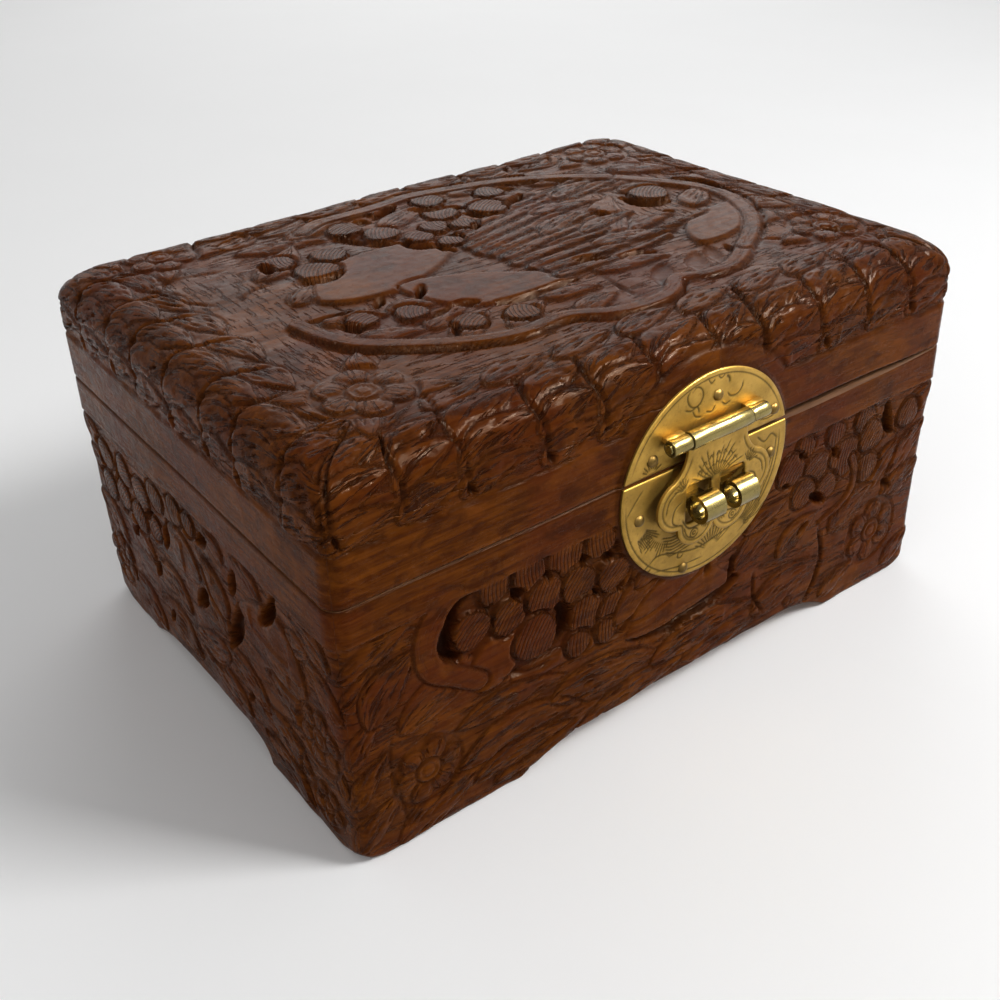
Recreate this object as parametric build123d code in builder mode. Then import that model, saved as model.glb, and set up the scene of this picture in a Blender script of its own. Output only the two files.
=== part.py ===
from build123d import *
import math
import os

os.makedirs("parts", exist_ok=True)

# A carved hardwood keepsake box: four mitred walls on bracket feet, a hinged lid with
# rounded top edges, and a round brass lock plate in two halves. The upper half carries
# a hasp on a barrel hinge, and the hasp drops over two staples on the lower half.
#
# Millimetres. +X runs to the right along the front, +Y from the front to the back, and
# +Z up. The origin is on the table, under the middle of the whole box with its brass.

# ---- driving dimensions: the wooden box ----
box_width = 205.0
box_depth = 148.0
rim_height = 75.5  # table to the rim of the base
lid_height = 32.2
lid_gap = 0.3  # between the rim of the base and the closed lid
wall = 12.0
corner_radius = 5.0  # upright corners
lid_board = 15.0  # thickness of the top board
lid_edge_radius = 10.0  # rounding along the top of the lid

# ---- driving dimensions: feet, bottom and rim ----
arch_height = 7.2  # how far the bracket feet lift the apron
arch_run = 22.0  # length of the curve from a foot up to the flat of the arch
front_arch_width = 118.0
front_arch_offset = 4.0  # the front arch sits this far right of the middle
side_arch_width = 75.0
side_arch_offset = 8.0  # the side arches sit this far behind the middle
side_arch_steep_run = 8.0  # the curve of a side arch at its front foot
side_arch_slow_run = 29.0  # and at its back foot
bottom_thickness = 6.0
bottom_lift = 9.5  # table to the underside of the bottom board
groove_depth = 4.0  # how deep the bottom board sits in each wall
groove_clearance = 0.15
bow_start = 2.0  # the front rim is worn and the lid bowed, from here right of the middle
bow_end_inset = 2.5  # to here from the right corner
rim_wear = 1.4
lid_bow = 1.2

# ---- driving dimensions: lock plate, nails ----
lock_offset = 5.7  # the lock sits this far right of the middle
lock_drop = 6.5  # centre of the round plate below the rim
plate_radius = 28.8
plate_thickness = 0.8
plate_edge_gap = 0.4  # from each half of the plate to the edge of its wood
nail_head_radius = 1.6
nail_head_height = 0.9
nail_shank_radius = 0.7
nail_length = 8.0
nail_clearance = 0.05
lower_left_nail_inset = 5.4  # in from the edge of the plate
bottom_nail_inset = 2.4
lower_right_nail_inset = 5.6
upper_right_nail_inset = 3.2
top_nail_inset = 6.8
upper_left_nail_inset = 6.6
# Each nail is an angle, counted from the right of the plate's centre, and its inset.
lower_nails = [
    (191.0, lower_left_nail_inset),
    (254.7, bottom_nail_inset),
    (355.0, lower_right_nail_inset),
]
upper_nails = [
    (25.0, upper_right_nail_inset),
    (85.0, top_nail_inset),
    (150.0, upper_left_nail_inset),
]

# ---- driving dimensions: hasp and its barrel hinge ----
barrel_rise = 8.0  # barrel axis above the rim of the base
barrel_length = 33.0
barrel_radius = 2.4  # middle knuckle, on the hasp
end_knuckle_radius = 2.15
barrel_standoff = 0.3  # between the plate and the middle knuckle
hasp_knuckle_length = 20.4
knuckle_gap = 0.25
hasp_pin_radius = 1.3
pin_clearance = 0.05
pin_overhang = 0.4  # peened end of the pin beyond the end knuckle
pin_end_rounding = 0.3
hasp_thickness = 1.0
neck_flare = 0.9  # how much the neck widens below its shoulders
neck_drop = 10.5  # barrel axis down to the top of the wings
wing_top_half = 14.5
wing_half = 19.6
wing_height = 14.2
wing_notch_half = 12.5  # the notch between a wing and the lobe below it
lobe_half = 7.4  # middle of the hasp to the tip of a lower lobe
lobe_drop = 6.3
lobe_cleft = 4.1  # how far the cleft between the lobes rises above their tips
shoulder_clearance = 0.6  # between the hasp's shoulders and the end knuckles
window_drop = 12.9  # barrel axis down to the top of the windows
window_spacing = 11.8
window_width = 8.6
window_height = 11.2
window_corner_radius = 1.2

# ---- driving dimensions: staples ----
staple_width = 6.6
eye_radius = 2.5  # bore of the staple's eye
eye_wall = 1.2
neck_thickness = 2.4
neck_depth = 9.0  # how far the staple is driven into the wall
eye_clearance = 0.3  # between a shackle in the eyes and the face of the hasp
slot_clearance = 0.1

# ---- driving dimensions: back hinges ----
hinge_spacing = 112.0
hinge_length = 28.0
hinge_knuckle_radius = 2.0
hinge_pin_radius = 0.9
hinge_standoff = 0.3  # between the back of the box and the knuckles
leaf_height = 9.0  # hinge axis to the far edge of a leaf
leaf_thickness = 0.9
leaf_corner_radius = 1.0
screw_spacing = 18.0
screw_head_radius = 1.5
screw_head_height = 0.6
screw_shank_radius = 0.8
screw_length = 7.0

# ---- driving dimensions: the main forms of the carving ----
plain_band = 10.0  # uncarved wood below the rim of the base
disc_radius = 5.3
trench_width = 1.3  # round a raised disc
trench_depth = 1.8
field_depth = 1.6  # the sunk field left of the lock
pocket_width = 3.0
pocket_depth = 3.3
streak_width = 1.3
streak_depth = 0.9
border_width = 2.0
border_depth = 1.2
flower_radius = 10.0
flower_depth = 1.0
flower_heart = 0.29  # radius of the heart and of a petal, as shares of the flower
petal_place = 0.66
petals = 6
land_margin = 1.5  # uncarved wood round the lock plate
scallop_pitch = 19.5  # between the notches in the rounded edge of the lid
scallop_wander = 1.6  # how far a hand-cut notch strays from its even place
scallop_width = 2.2
scallop_depth = 1.5
scallop_reach = 19.0  # how far a notch runs in over the top
scallop_lean = 13.0  # degrees
lock_arch_margin = 6.0  # plain wood over the lock plate on the lid

# Places on a board are hundredths of its width and its height, from its low left corner.
# A disc has its size as a share of the disc radius, and a flower of the flower radius.
field_outline = [
    (15.5, 85), (13.8, 75.5), (14.6, 67.5), (18.5, 58.5), (21.5, 47.5), (27.5, 43),
    (35, 40.5), (40.5, 41), (42, 58.5), (39.5, 85),
]
front_discs = [
    (20.5, 84, 0.8), (25.5, 84, 0.9), (30.8, 84, 1.0), (36.2, 84, 0.9), (22.5, 70.5, 0.9),
    (27.8, 72, 1.0), (33, 70, 1.0), (38.3, 67.5, 0.9), (34, 57, 1.0), (38.8, 53, 0.8),
    (26.3, 58, 1.2), (17.3, 72.5, 1.0), (35.5, 45, 0.7),
]
right_discs = [
    (72, 81.5, 0.7), (78, 82, 0.7), (84, 82, 0.8), (69.5, 73.5, 1.0), (75, 70, 0.9),
    (72.4, 61, 0.9), (80.5, 69.5, 1.1), (86.3, 73, 0.9), (77.3, 58.5, 0.8), (86, 59.5, 0.9),
    (94, 75.5, 0.9),
]
front_pockets = [
    ((30, 63), (29.6, 53)), ((75, 58.5), (76.5, 53.5)), ((89, 83), (90.2, 70)),
    ((59.4, 38.5), (59.6, 47.5)),
]
crescent_pockets = [
    ((17.3, 84), (13.9, 75), (15.3, 65)), ((42, 36.5), (50.7, 32.6), (60, 37.5)),
]
front_flowers = [(10.4, 27, 0.95), (89, 26.5, 1.05)]
lid_discs = [
    (31.2, 70.3, 1.0), (24.4, 72.6, 0.9), (37.8, 80.2, 1.0), (41, 73.3, 1.0),
    (44.4, 67.2, 0.8), (46.8, 61, 0.7), (52, 75.3, 1.0), (48.3, 69.6, 0.8), (45.8, 86.5, 0.8),
    (53.7, 83.5, 1.0), (62.9, 79.7, 0.9), (70.2, 83, 0.8), (58.9, 72.5, 1.1),
    (27.1, 64.6, 1.1), (81, 57.4, 1.2), (23.4, 41, 0.8), (29.3, 38.2, 0.8), (33.2, 29, 0.8),
    (39.5, 26.4, 0.9),
]
lid_pockets = [
    ((24.8, 61), (29, 61)), ((35.7, 77), (37.3, 72)), ((38.2, 70.3), (42, 66.5)),
    ((41.5, 65), (44.2, 60.8)), ((44.3, 82.5), (48.3, 85.5)), ((49.7, 80.8), (53.5, 78)),
    ((61.6, 71.5), (65.6, 73.8)), ((69.7, 80.4), (71.3, 78.6)), ((76.9, 59), (77.4, 53.5)),
    ((21, 41.5), (22, 38)), ((30, 34.2), (34, 36.2)), ((39, 31.6), (51.4, 31.8)),
    ((55.5, 38.3), (59, 36)), ((60.5, 34), (65.7, 32.8)), ((88.2, 60.5), (90.5, 49)),
]
lid_streaks = [
    ((48, 61), (73, 72)), ((48.3, 58), (78, 71)), ((48.3, 55), (72, 64.5)),
    ((49.3, 52), (69, 58)), ((49.8, 43), (68, 45)), ((50.7, 40), (78, 42)),
    ((50.7, 37), (73, 39)),
]
lid_flowers = [(13.9, 19, 1.15), (89.5, 21, 1.05), (12.5, 87.5, 1.0), (87.8, 85.5, 1.05)]
border_outline = [
    (15.1, 46), (18, 33), (26.8, 23.5), (36, 18.7), (42, 19.2), (47.5, 15.4), (55.5, 14.2),
    (61.7, 18.5), (69, 16.8), (77, 22.3), (86.8, 33), (91.2, 48.6), (87.8, 62), (77, 79),
    (69.3, 85), (60.5, 88.5), (52.7, 90.4), (43, 89), (36, 88.8), (27.3, 81.8), (17.6, 65.5),
]

# ---- places worked out from the dimensions ----
hasp_knuckle_reach = plate_thickness + barrel_standoff + barrel_radius
hasp_face_reach = hasp_knuckle_reach + hasp_thickness / 2
eye_reach = hasp_face_reach + eye_clearance + eye_radius
front_reach = eye_reach + eye_radius + eye_wall
hinge_axis_reach = hinge_standoff + hinge_knuckle_radius
back_reach = hinge_axis_reach + hinge_knuckle_radius

front_y = front_reach - (front_reach + box_depth + back_reach) / 2
back_y = front_y + box_depth
middle_y = (front_y + back_y) / 2
inner_width = box_width - 2 * wall
inner_depth = box_depth - 2 * wall

lid_low = rim_height + lid_gap
lid_top = lid_low + lid_height
lid_board_low = lid_top - lid_board

lock_x = lock_offset
lock_z = rim_height - lock_drop
barrel_y = front_y - hasp_knuckle_reach
barrel_z = rim_height + barrel_rise
eye_y = front_y - eye_reach
window_middle = window_drop + window_height / 2
eye_z = barrel_z - window_middle

hinge_y = back_y + hinge_axis_reach
hinge_z = rim_height + lid_gap / 2
hinge_places = [-hinge_spacing / 2, hinge_spacing / 2]


def front_plane(x, z, y=front_y):
    """A plane that looks out of the front of the box."""
    return Plane(origin=(x, y, z), x_dir=(1, 0, 0), z_dir=(0, -1, 0))


def back_plane(x, z, y=back_y):
    """A plane that looks out of the back of the box."""
    return Plane(origin=(x, y, z), x_dir=(-1, 0, 0), z_dir=(0, 1, 0))


def side_plane(x, y, z):
    """A plane that looks to the right, with the depth of the box as its width."""
    return Plane(origin=(x, y, z), x_dir=(0, 1, 0), z_dir=(1, 0, 0))


# ---- shared steps, used inside the sub-parts below ----


def mitred_side(side, low, height):
    """One side of a four-sided frame, cut to a mitre at both ends."""
    half_w, half_d = box_width / 2, box_depth / 2
    reach = wall + corner_radius
    outlines = {
        "front": [(-half_w, -half_d), (half_w, -half_d),
                  (half_w - reach, -half_d + reach), (-half_w + reach, -half_d + reach)],
        "back": [(half_w, half_d), (-half_w, half_d),
                 (-half_w + reach, half_d - reach), (half_w - reach, half_d - reach)],
        "left": [(-half_w, half_d), (-half_w, -half_d),
                 (-half_w + reach, -half_d + reach), (-half_w + reach, half_d - reach)],
        "right": [(half_w, -half_d), (half_w, half_d),
                  (half_w - reach, half_d - reach), (half_w - reach, -half_d + reach)],
    }
    with BuildSketch(Plane(origin=(0, middle_y, low))) as plan:
        RectangleRounded(box_width, box_depth, corner_radius)
        Rectangle(inner_width, inner_depth, mode=Mode.SUBTRACT)
        with BuildLine():
            Polyline(*outlines[side], close=True)
        make_face(mode=Mode.INTERSECT)
    extrude(plan.sketch, amount=height)


def cut_arch(plane, width, start_run, end_run):
    """The arch between two bracket feet: a flat top that curves down to each foot."""
    half = width / 2
    with BuildSketch(plane) as arch:
        with BuildLine():
            Line((-half, 0), (half, 0))
            TangentArc((half - end_run, arch_height), (half, 0), tangent=(1, 0))
            Line((half - end_run, arch_height), (-half + start_run, arch_height))
            TangentArc((-half + start_run, arch_height), (-half, 0), tangent=(-1, 0))
        make_face()
    extrude(arch.sketch, amount=wall * 2, both=True, mode=Mode.SUBTRACT)


def cut_side_arch(x):
    """The arch in the left or the right wall, steep at the front and slow at the back."""
    plane = side_plane(x, middle_y + side_arch_offset, 0)
    cut_arch(plane, side_arch_width, side_arch_steep_run, side_arch_slow_run)


def cut_bottom_groove():
    """The groove that holds the edge of the bottom board."""
    with BuildSketch(Plane(origin=(0, middle_y, bottom_lift))) as groove:
        Rectangle(inner_width + 2 * groove_depth, inner_depth + 2 * groove_depth)
    extrude(groove.sketch, amount=bottom_thickness + groove_clearance, mode=Mode.SUBTRACT)


def cut_bow(edge_z, rise):
    """A shallow curve along the front edge, on the right of the lock."""
    start, end = bow_start, box_width / 2 - bow_end_inset
    with BuildSketch(front_plane(0, edge_z, middle_y)) as bow:
        with BuildLine():
            Line((start, 0), (end, 0))
            ThreePointArc((end, 0), ((start + end) / 2, rise), (start, 0))
        make_face()
    extrude(bow.sketch, amount=box_depth, both=True, mode=Mode.SUBTRACT)


def cut_holes(planes, radius, depth):
    """Round holes bored inwards from a list of planes on the outside."""
    for plane in planes:
        with BuildSketch(plane) as hole:
            Circle(radius)
        extrude(hole.sketch, amount=-depth, mode=Mode.SUBTRACT)


def lock_disc(reach):
    """The whole round lock plate as a disc on the front, as thick as reach."""
    with BuildSketch(front_plane(lock_x, lock_z)) as disc:
        Circle(plate_radius)
    extrude(disc.sketch, amount=reach)


def nail_planes(nails):
    """The places where nails stand on the lock plate's face."""
    planes = []
    for angle, inset in nails:
        turn = math.radians(angle)
        away = plate_radius - inset
        x = lock_x + away * math.cos(turn)
        z = lock_z + away * math.sin(turn)
        planes.append(front_plane(x, z, front_y - plate_thickness))
    return planes


def screw_planes(side):
    """The places of the hinge screws, on the base below the axis or on the lid above."""
    middle = (leaf_height + hinge_knuckle_radius) / 2
    z = hinge_z + middle if side == "lid" else hinge_z - middle
    return [
        back_plane(x + offset, z, back_y + leaf_thickness)
        for x in hinge_places
        for offset in (-screw_spacing / 2, screw_spacing / 2)
    ]


def spot(place, width, height):
    """A place given in hundredths of a board, as a point from the board's corner."""
    return Vector(place[0] * width / 100, place[1] * height / 100)


def circles(places, width, height, unit, margin=0, mode=Mode.ADD):
    """Circles at a list of places, each of its own size, grown by a margin."""
    for x, y, size in places:
        with Locations(spot((x, y), width, height)):
            Circle(size * unit + margin, mode=mode)


def slot_between(start, end, slot_width):
    """A slot with round ends from one point to another."""
    way = end - start
    with Locations((start + end) / 2):
        turn = math.degrees(math.atan2(way.Y, way.X))
        SlotOverall(way.length + slot_width, slot_width, rotation=turn)


def flower_ground(places, width, height):
    """The sunk ground of open flowers, round their petals and their hearts."""
    circles(places, width, height, flower_radius)
    for x, y, size in places:
        radius = size * flower_radius
        with Locations(spot((x, y), width, height)):
            Circle(radius * flower_heart, mode=Mode.SUBTRACT)
            with PolarLocations(radius * petal_place, petals):
                Circle(radius * flower_heart, mode=Mode.SUBTRACT)


def carve_front():
    """The main forms on the front of the base, clear of the plain band and the lock."""
    width, height = box_width, rim_height
    plane = front_plane(-box_width / 2, 0)
    land = (lock_x + box_width / 2, lock_z)
    carved_height = rim_height - plain_band

    def cut(sketch, depth):
        extrude(sketch, amount=-depth, mode=Mode.SUBTRACT)

    def keep_plain():
        with Locations(land):
            Circle(plate_radius + land_margin, mode=Mode.SUBTRACT)
        Rectangle(
            box_width, carved_height, align=(Align.MIN, Align.MIN), mode=Mode.INTERSECT
        )

    with BuildSketch(plane) as field:
        with BuildLine():
            Spline(*[spot(p, width, height) for p in field_outline], periodic=True)
        make_face()
        circles(front_discs, width, height, disc_radius, mode=Mode.SUBTRACT)
        keep_plain()
    cut(field.sketch, field_depth)
    with BuildSketch(plane) as trenches:
        circles(right_discs, width, height, disc_radius, trench_width)
        circles(right_discs, width, height, disc_radius, mode=Mode.SUBTRACT)
        keep_plain()
    cut(trenches.sketch, trench_depth)
    with BuildSketch(plane) as flowers:
        flower_ground(front_flowers, width, height)
    cut(flowers.sketch, flower_depth)
    with BuildSketch(plane) as pockets:
        for start, end in front_pockets:
            slot_between(spot(start, width, height), spot(end, width, height), pocket_width)
        for places in crescent_pockets:
            bow_line = [spot(p, width, height) for p in places]
            SlotArc(Edge.make_three_point_arc(*bow_line), pocket_width)
        keep_plain()
    cut(pockets.sketch, pocket_depth)


def carve_lid_top():
    """The main forms on the flat of the lid: its lobed border, discs, pockets and streaks."""
    width, height = box_width, box_depth
    plane = Plane(origin=(-box_width / 2, middle_y - box_depth / 2, lid_top))
    middle = Vector(width / 2, height / 2)

    def cut(sketch, depth):
        extrude(sketch, amount=-depth, mode=Mode.SUBTRACT)

    outer = [spot(p, width, height) for p in border_outline]
    inner = [p - (p - middle).normalized() * border_width for p in outer]
    with BuildSketch(plane) as border:
        with BuildLine():
            Spline(*outer, periodic=True)
        make_face()
        with BuildLine():
            Spline(*inner, periodic=True)
        make_face(mode=Mode.SUBTRACT)
    cut(border.sketch, border_depth)
    with BuildSketch(plane) as trenches:
        circles(lid_discs, width, height, disc_radius, trench_width)
        circles(lid_discs, width, height, disc_radius, mode=Mode.SUBTRACT)
    cut(trenches.sketch, trench_depth)
    with BuildSketch(plane) as streaks:
        for start, end in lid_streaks:
            slot_between(spot(start, width, height), spot(end, width, height), streak_width)
    cut(streaks.sketch, streak_depth)
    with BuildSketch(plane) as flowers:
        flower_ground(lid_flowers, width, height)
    cut(flowers.sketch, flower_depth)
    with BuildSketch(plane) as pockets:
        for start, end in lid_pockets:
            slot_between(spot(start, width, height), spot(end, width, height), pocket_width)
    cut(pockets.sketch, pocket_depth)


def notch_offsets(length, side_number):
    """Where the notches stand along one side of the lid, counted from its middle."""
    count = round(length / scallop_pitch)
    return [
        (i / count - 0.5) * length + scallop_wander * math.sin(2.4 * i + side_number)
        for i in range(1, count)
    ]


def lid_blank(inset):
    """The top board before it is carved, or the same form smaller by an inset all round."""
    with BuildPart() as blank:
        with BuildSketch(Plane(origin=(0, middle_y, lid_board_low))):
            Rectangle(box_width - 2 * inset, box_depth - 2 * inset)
        extrude(amount=lid_board - inset)
        top_edges = blank.faces().sort_by(Axis.Z)[-1].edges()
        fillet(top_edges, lid_edge_radius - inset)
        upright = blank.edges().filter_by(
            lambda edge: abs(abs(edge.center().X) - box_width / 2) < lid_edge_radius
            and abs(abs(edge.center().Y - middle_y) - box_depth / 2) < lid_edge_radius
            and edge.bounding_box().size.Z > 1
        )
        fillet(upright, corner_radius - inset)
    return blank.part


def cut_edge_notches():
    """Notches all round that part the rounded edge of the lid into scallops."""
    sides = [
        (0, box_width, 0, -box_depth / 2), (90, box_depth, box_width / 2, 0),
        (180, box_width, 0, box_depth / 2), (270, box_depth, -box_width / 2, 0),
    ]
    with BuildPart() as notches:
        for number, (turn, length, x, y) in enumerate(sides):
            side = Location((x, middle_y + y, lid_top), (0, 0, turn))
            for offset in notch_offsets(length, number):
                with Locations(side * Location((offset, scallop_reach / 2, 0))):
                    Box(
                        scallop_width, scallop_reach + corner_radius, 2 * lid_board,
                        rotation=(0, 0, -scallop_lean),
                    )
        add(lid_blank(scallop_depth), mode=Mode.SUBTRACT)
        with BuildSketch(front_plane(lock_x, lock_z, front_y - corner_radius)) as lock_arch:
            Circle(plate_radius + lock_arch_margin)
        extrude(lock_arch.sketch, amount=-scallop_reach, mode=Mode.SUBTRACT)
    add(notches.part, mode=Mode.SUBTRACT)


def fastener(shank_radius, length, head_radius, head_height):
    """A domed nail or screw that points down from its seat at the origin."""
    halfway = math.sqrt(0.5)
    with BuildPart() as piece:
        with BuildSketch(Plane.XZ):
            with BuildLine():
                Line((0, -length), (0, head_height))
                ThreePointArc(
                    (0, head_height),
                    (head_radius * halfway, head_height * halfway),
                    (head_radius, 0),
                )
                Line((head_radius, 0), (shank_radius, 0))
                Line((shank_radius, 0), (shank_radius, -length + shank_radius))
                Line((shank_radius, -length + shank_radius), (0, -length))
            make_face()
        revolve(axis=Axis.Z)
    return piece.part


lock_nail = fastener(nail_shank_radius, nail_length, nail_head_radius, nail_head_height)
hinge_screw = fastener(
    screw_shank_radius, screw_length, screw_head_radius, screw_head_height
)


def save(piece, name):
    """Labels a finished sub-part and writes it to its own file."""
    piece.part.label = name
    export_step(piece.part, f"parts/{name}.step")


# ---- base: four mitred walls and the bottom board ----

staple_places = [lock_x - window_spacing / 2, lock_x + window_spacing / 2]
nail_hole = nail_shank_radius + nail_clearance
screw_hole = screw_shank_radius + nail_clearance


def cut_staple_slots(depth):
    """The slots that the necks of the two staples are driven through."""
    for x in staple_places:
        with BuildSketch(front_plane(x, eye_z, front_y - plate_thickness)) as slot:
            Rectangle(staple_width + 2 * slot_clearance, neck_thickness + 2 * slot_clearance)
        extrude(slot.sketch, amount=-depth, mode=Mode.SUBTRACT)


with BuildPart() as base_front_board:
    mitred_side("front", 0, rim_height)
    cut_arch(front_plane(front_arch_offset, 0), front_arch_width, arch_run, arch_run)
    cut_bottom_groove()
    cut_bow(rim_height, -rim_wear)
    carve_front()
    cut_holes(nail_planes(lower_nails), nail_hole, nail_length + nail_clearance)
    cut_staple_slots(plate_thickness + neck_depth + slot_clearance)
save(base_front_board, "base_front_board")

with BuildPart() as base_back_board:
    mitred_side("back", 0, rim_height)
    cut_arch(back_plane(0, 0), front_arch_width, arch_run, arch_run)
    cut_bottom_groove()
    cut_holes(screw_planes("base"), screw_hole, screw_length + nail_clearance)
save(base_back_board, "base_back_board")

with BuildPart() as base_left_board:
    mitred_side("left", 0, rim_height)
    cut_side_arch(-box_width / 2)
    cut_bottom_groove()
save(base_left_board, "base_left_board")

with BuildPart() as base_right_board:
    mitred_side("right", 0, rim_height)
    cut_side_arch(box_width / 2)
    cut_bottom_groove()
save(base_right_board, "base_right_board")

with BuildPart() as bottom_board:
    with BuildSketch(Plane(origin=(0, middle_y, bottom_lift))):
        Rectangle(
            inner_width + 2 * (groove_depth - groove_clearance),
            inner_depth + 2 * (groove_depth - groove_clearance),
        )
    extrude(amount=bottom_thickness)
save(bottom_board, "bottom_board")

# ---- lid: four mitred rails under a thick board with rounded edges ----

rail_height = lid_board_low - lid_low

with BuildPart() as lid_front_rail:
    mitred_side("front", lid_low, rail_height)
    cut_bow(lid_low, lid_bow)
    cut_holes(nail_planes(upper_nails), nail_hole, nail_length + nail_clearance)
save(lid_front_rail, "lid_front_rail")

with BuildPart() as lid_back_rail:
    mitred_side("back", lid_low, rail_height)
    cut_holes(screw_planes("lid"), screw_hole, screw_length + nail_clearance)
save(lid_back_rail, "lid_back_rail")

with BuildPart() as lid_left_rail:
    mitred_side("left", lid_low, rail_height)
save(lid_left_rail, "lid_left_rail")

with BuildPart() as lid_right_rail:
    mitred_side("right", lid_low, rail_height)
save(lid_right_rail, "lid_right_rail")

with BuildPart() as lid_top_board:
    add(lid_blank(0))
    cut_edge_notches()
    carve_lid_top()
    cut_holes(nail_planes(upper_nails), nail_hole, nail_length + nail_clearance)
save(lid_top_board, "lid_top_board")

# ---- brass lock plate: a lower half on the base and an upper half on the lid ----

with BuildPart() as lower_lock_plate:
    lock_disc(plate_thickness)
    split(bisect_by=Plane.XY.offset(rim_height - plate_edge_gap), keep=Keep.BOTTOM)
    cut_holes(nail_planes(lower_nails), nail_hole, plate_thickness)
    cut_staple_slots(plate_thickness)
save(lower_lock_plate, "lower_lock_plate")

end_knuckle_length = (barrel_length - hasp_knuckle_length) / 2 - knuckle_gap
end_knuckle_offset = (barrel_length - end_knuckle_length) / 2


def barrel_cylinder(x, length, radius, mode=Mode.ADD):
    """A round piece along the barrel of the hasp, centred at x."""
    with BuildSketch(side_plane(x, barrel_y, barrel_z)) as ring:
        Circle(radius)
    extrude(ring.sketch, amount=length / 2, both=True, mode=mode)


with BuildPart() as upper_lock_plate:
    lock_disc(plate_thickness)
    split(bisect_by=Plane.XY.offset(lid_low + plate_edge_gap), keep=Keep.TOP)
    for x in (lock_x - end_knuckle_offset, lock_x + end_knuckle_offset):
        barrel_cylinder(x, end_knuckle_length, end_knuckle_radius)
        # The strip that joins the rolled knuckle to the plate behind it.
        with BuildSketch(side_plane(x, barrel_y, barrel_z)) as web:
            Rectangle(
                hasp_knuckle_reach - plate_thickness / 2,
                end_knuckle_radius,
                align=(Align.MIN, Align.MIN),
            )
        extrude(web.sketch, amount=end_knuckle_length / 2, both=True)
    barrel_cylinder(
        lock_x, barrel_length * 2, hasp_pin_radius + pin_clearance, Mode.SUBTRACT
    )
    cut_holes(nail_planes(upper_nails), nail_hole, plate_thickness)
save(upper_lock_plate, "upper_lock_plate")

with BuildPart() as lower_plate_nails:
    with Locations(*nail_planes(lower_nails)):
        add(lock_nail)
save(lower_plate_nails, "lower_plate_nails")

with BuildPart() as upper_plate_nails:
    with Locations(*nail_planes(upper_nails)):
        add(lock_nail)
save(upper_plate_nails, "upper_plate_nails")

with BuildPart() as hasp_pin:
    barrel_cylinder(lock_x, barrel_length + 2 * pin_overhang, hasp_pin_radius)
    fillet(hasp_pin.edges().filter_by(GeomType.CIRCLE), pin_end_rounding)
save(hasp_pin, "hasp_pin")

# ---- hasp: a lobed plate that hangs from the barrel, with two windows ----

neck_half = hasp_knuckle_length / 2
shoulder_drop = barrel_radius + shoulder_clearance
notch_drop = neck_drop + wing_height
tip_drop = notch_drop + lobe_drop
cleft_drop = tip_drop - lobe_cleft

with BuildPart() as hasp:
    hasp_plane = front_plane(lock_x, barrel_z, barrel_y)
    with BuildSketch(hasp_plane) as hasp_outline:
        with BuildLine():
            Line((0, 0), (neck_half, 0))
            Line((neck_half, 0), (neck_half, -shoulder_drop))
            ThreePointArc(
                (neck_half, -shoulder_drop),
                (neck_half + neck_flare, -(shoulder_drop + neck_drop) / 2),
                (wing_top_half, -neck_drop),
            )
            ThreePointArc(
                (wing_top_half, -neck_drop),
                (wing_half, -neck_drop - wing_height / 2),
                (wing_notch_half, -notch_drop),
            )
            ThreePointArc(
                (wing_notch_half, -notch_drop), (lobe_half, -tip_drop), (0, -cleft_drop)
            )
            Line((0, -cleft_drop), (0, 0))
        make_face()
        mirror(about=Plane.YZ)
        with Locations(
            (-window_spacing / 2, -window_middle), (window_spacing / 2, -window_middle)
        ):
            RectangleRounded(
                window_width, window_height, window_corner_radius, mode=Mode.SUBTRACT
            )
    extrude(hasp_outline.sketch, amount=hasp_thickness / 2, both=True)
    barrel_cylinder(lock_x, hasp_knuckle_length, barrel_radius)
    barrel_cylinder(
        lock_x, barrel_length, hasp_pin_radius + pin_clearance, Mode.SUBTRACT
    )
save(hasp, "hasp")

# ---- staples: a strip bent round an eye, its two legs driven through the wall ----


def staple(x):
    """A staple with its eye along X, and its closed legs as one neck."""
    with BuildSketch(side_plane(x, eye_y, eye_z)) as outline:
        Circle(eye_radius + eye_wall)
        with Locations((0, 0)):
            Rectangle(
                eye_reach + neck_depth, neck_thickness, align=(Align.MIN, Align.CENTER)
            )
        Circle(eye_radius, mode=Mode.SUBTRACT)
    extrude(outline.sketch, amount=staple_width / 2, both=True)


with BuildPart() as left_staple:
    staple(staple_places[0])
save(left_staple, "left_staple")

with BuildPart() as right_staple:
    staple(staple_places[1])
save(right_staple, "right_staple")

# ---- back hinges: a leaf on the base, a leaf on the lid, and a pin, on each side ----

knuckle_length = hinge_length / 3


def hinge_cylinder(x, length, radius, mode=Mode.ADD):
    """A round piece along a back hinge, centred at x."""
    with BuildSketch(side_plane(x, hinge_y, hinge_z)) as ring:
        Circle(radius)
    extrude(ring.sketch, amount=length / 2, both=True, mode=mode)


def hinge_leaf(x, up, knuckles):
    """A leaf that runs up or down from the axis, with the knuckles that belong to it."""
    near = hinge_knuckle_radius + hinge_standoff
    with BuildSketch(back_plane(x, hinge_z + up * (near + leaf_height) / 2)) as leaf:
        RectangleRounded(hinge_length, leaf_height - near, leaf_corner_radius)
    extrude(leaf.sketch, amount=leaf_thickness)
    length = knuckle_length - knuckle_gap
    for offset in knuckles:
        hinge_cylinder(x + offset, length, hinge_knuckle_radius)
        # The tab that joins the knuckle to the flat of the leaf.
        with BuildSketch(back_plane(x + offset, hinge_z)) as tab:
            Rectangle(
                length,
                near + leaf_corner_radius,
                align=(Align.CENTER, Align.MIN if up > 0 else Align.MAX),
            )
        extrude(tab.sketch, amount=leaf_thickness)
    hinge_cylinder(x, hinge_length * 2, hinge_pin_radius + pin_clearance, Mode.SUBTRACT)
    side = "lid" if up > 0 else "base"
    cut_holes(screw_planes(side), screw_hole, leaf_thickness)


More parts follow.
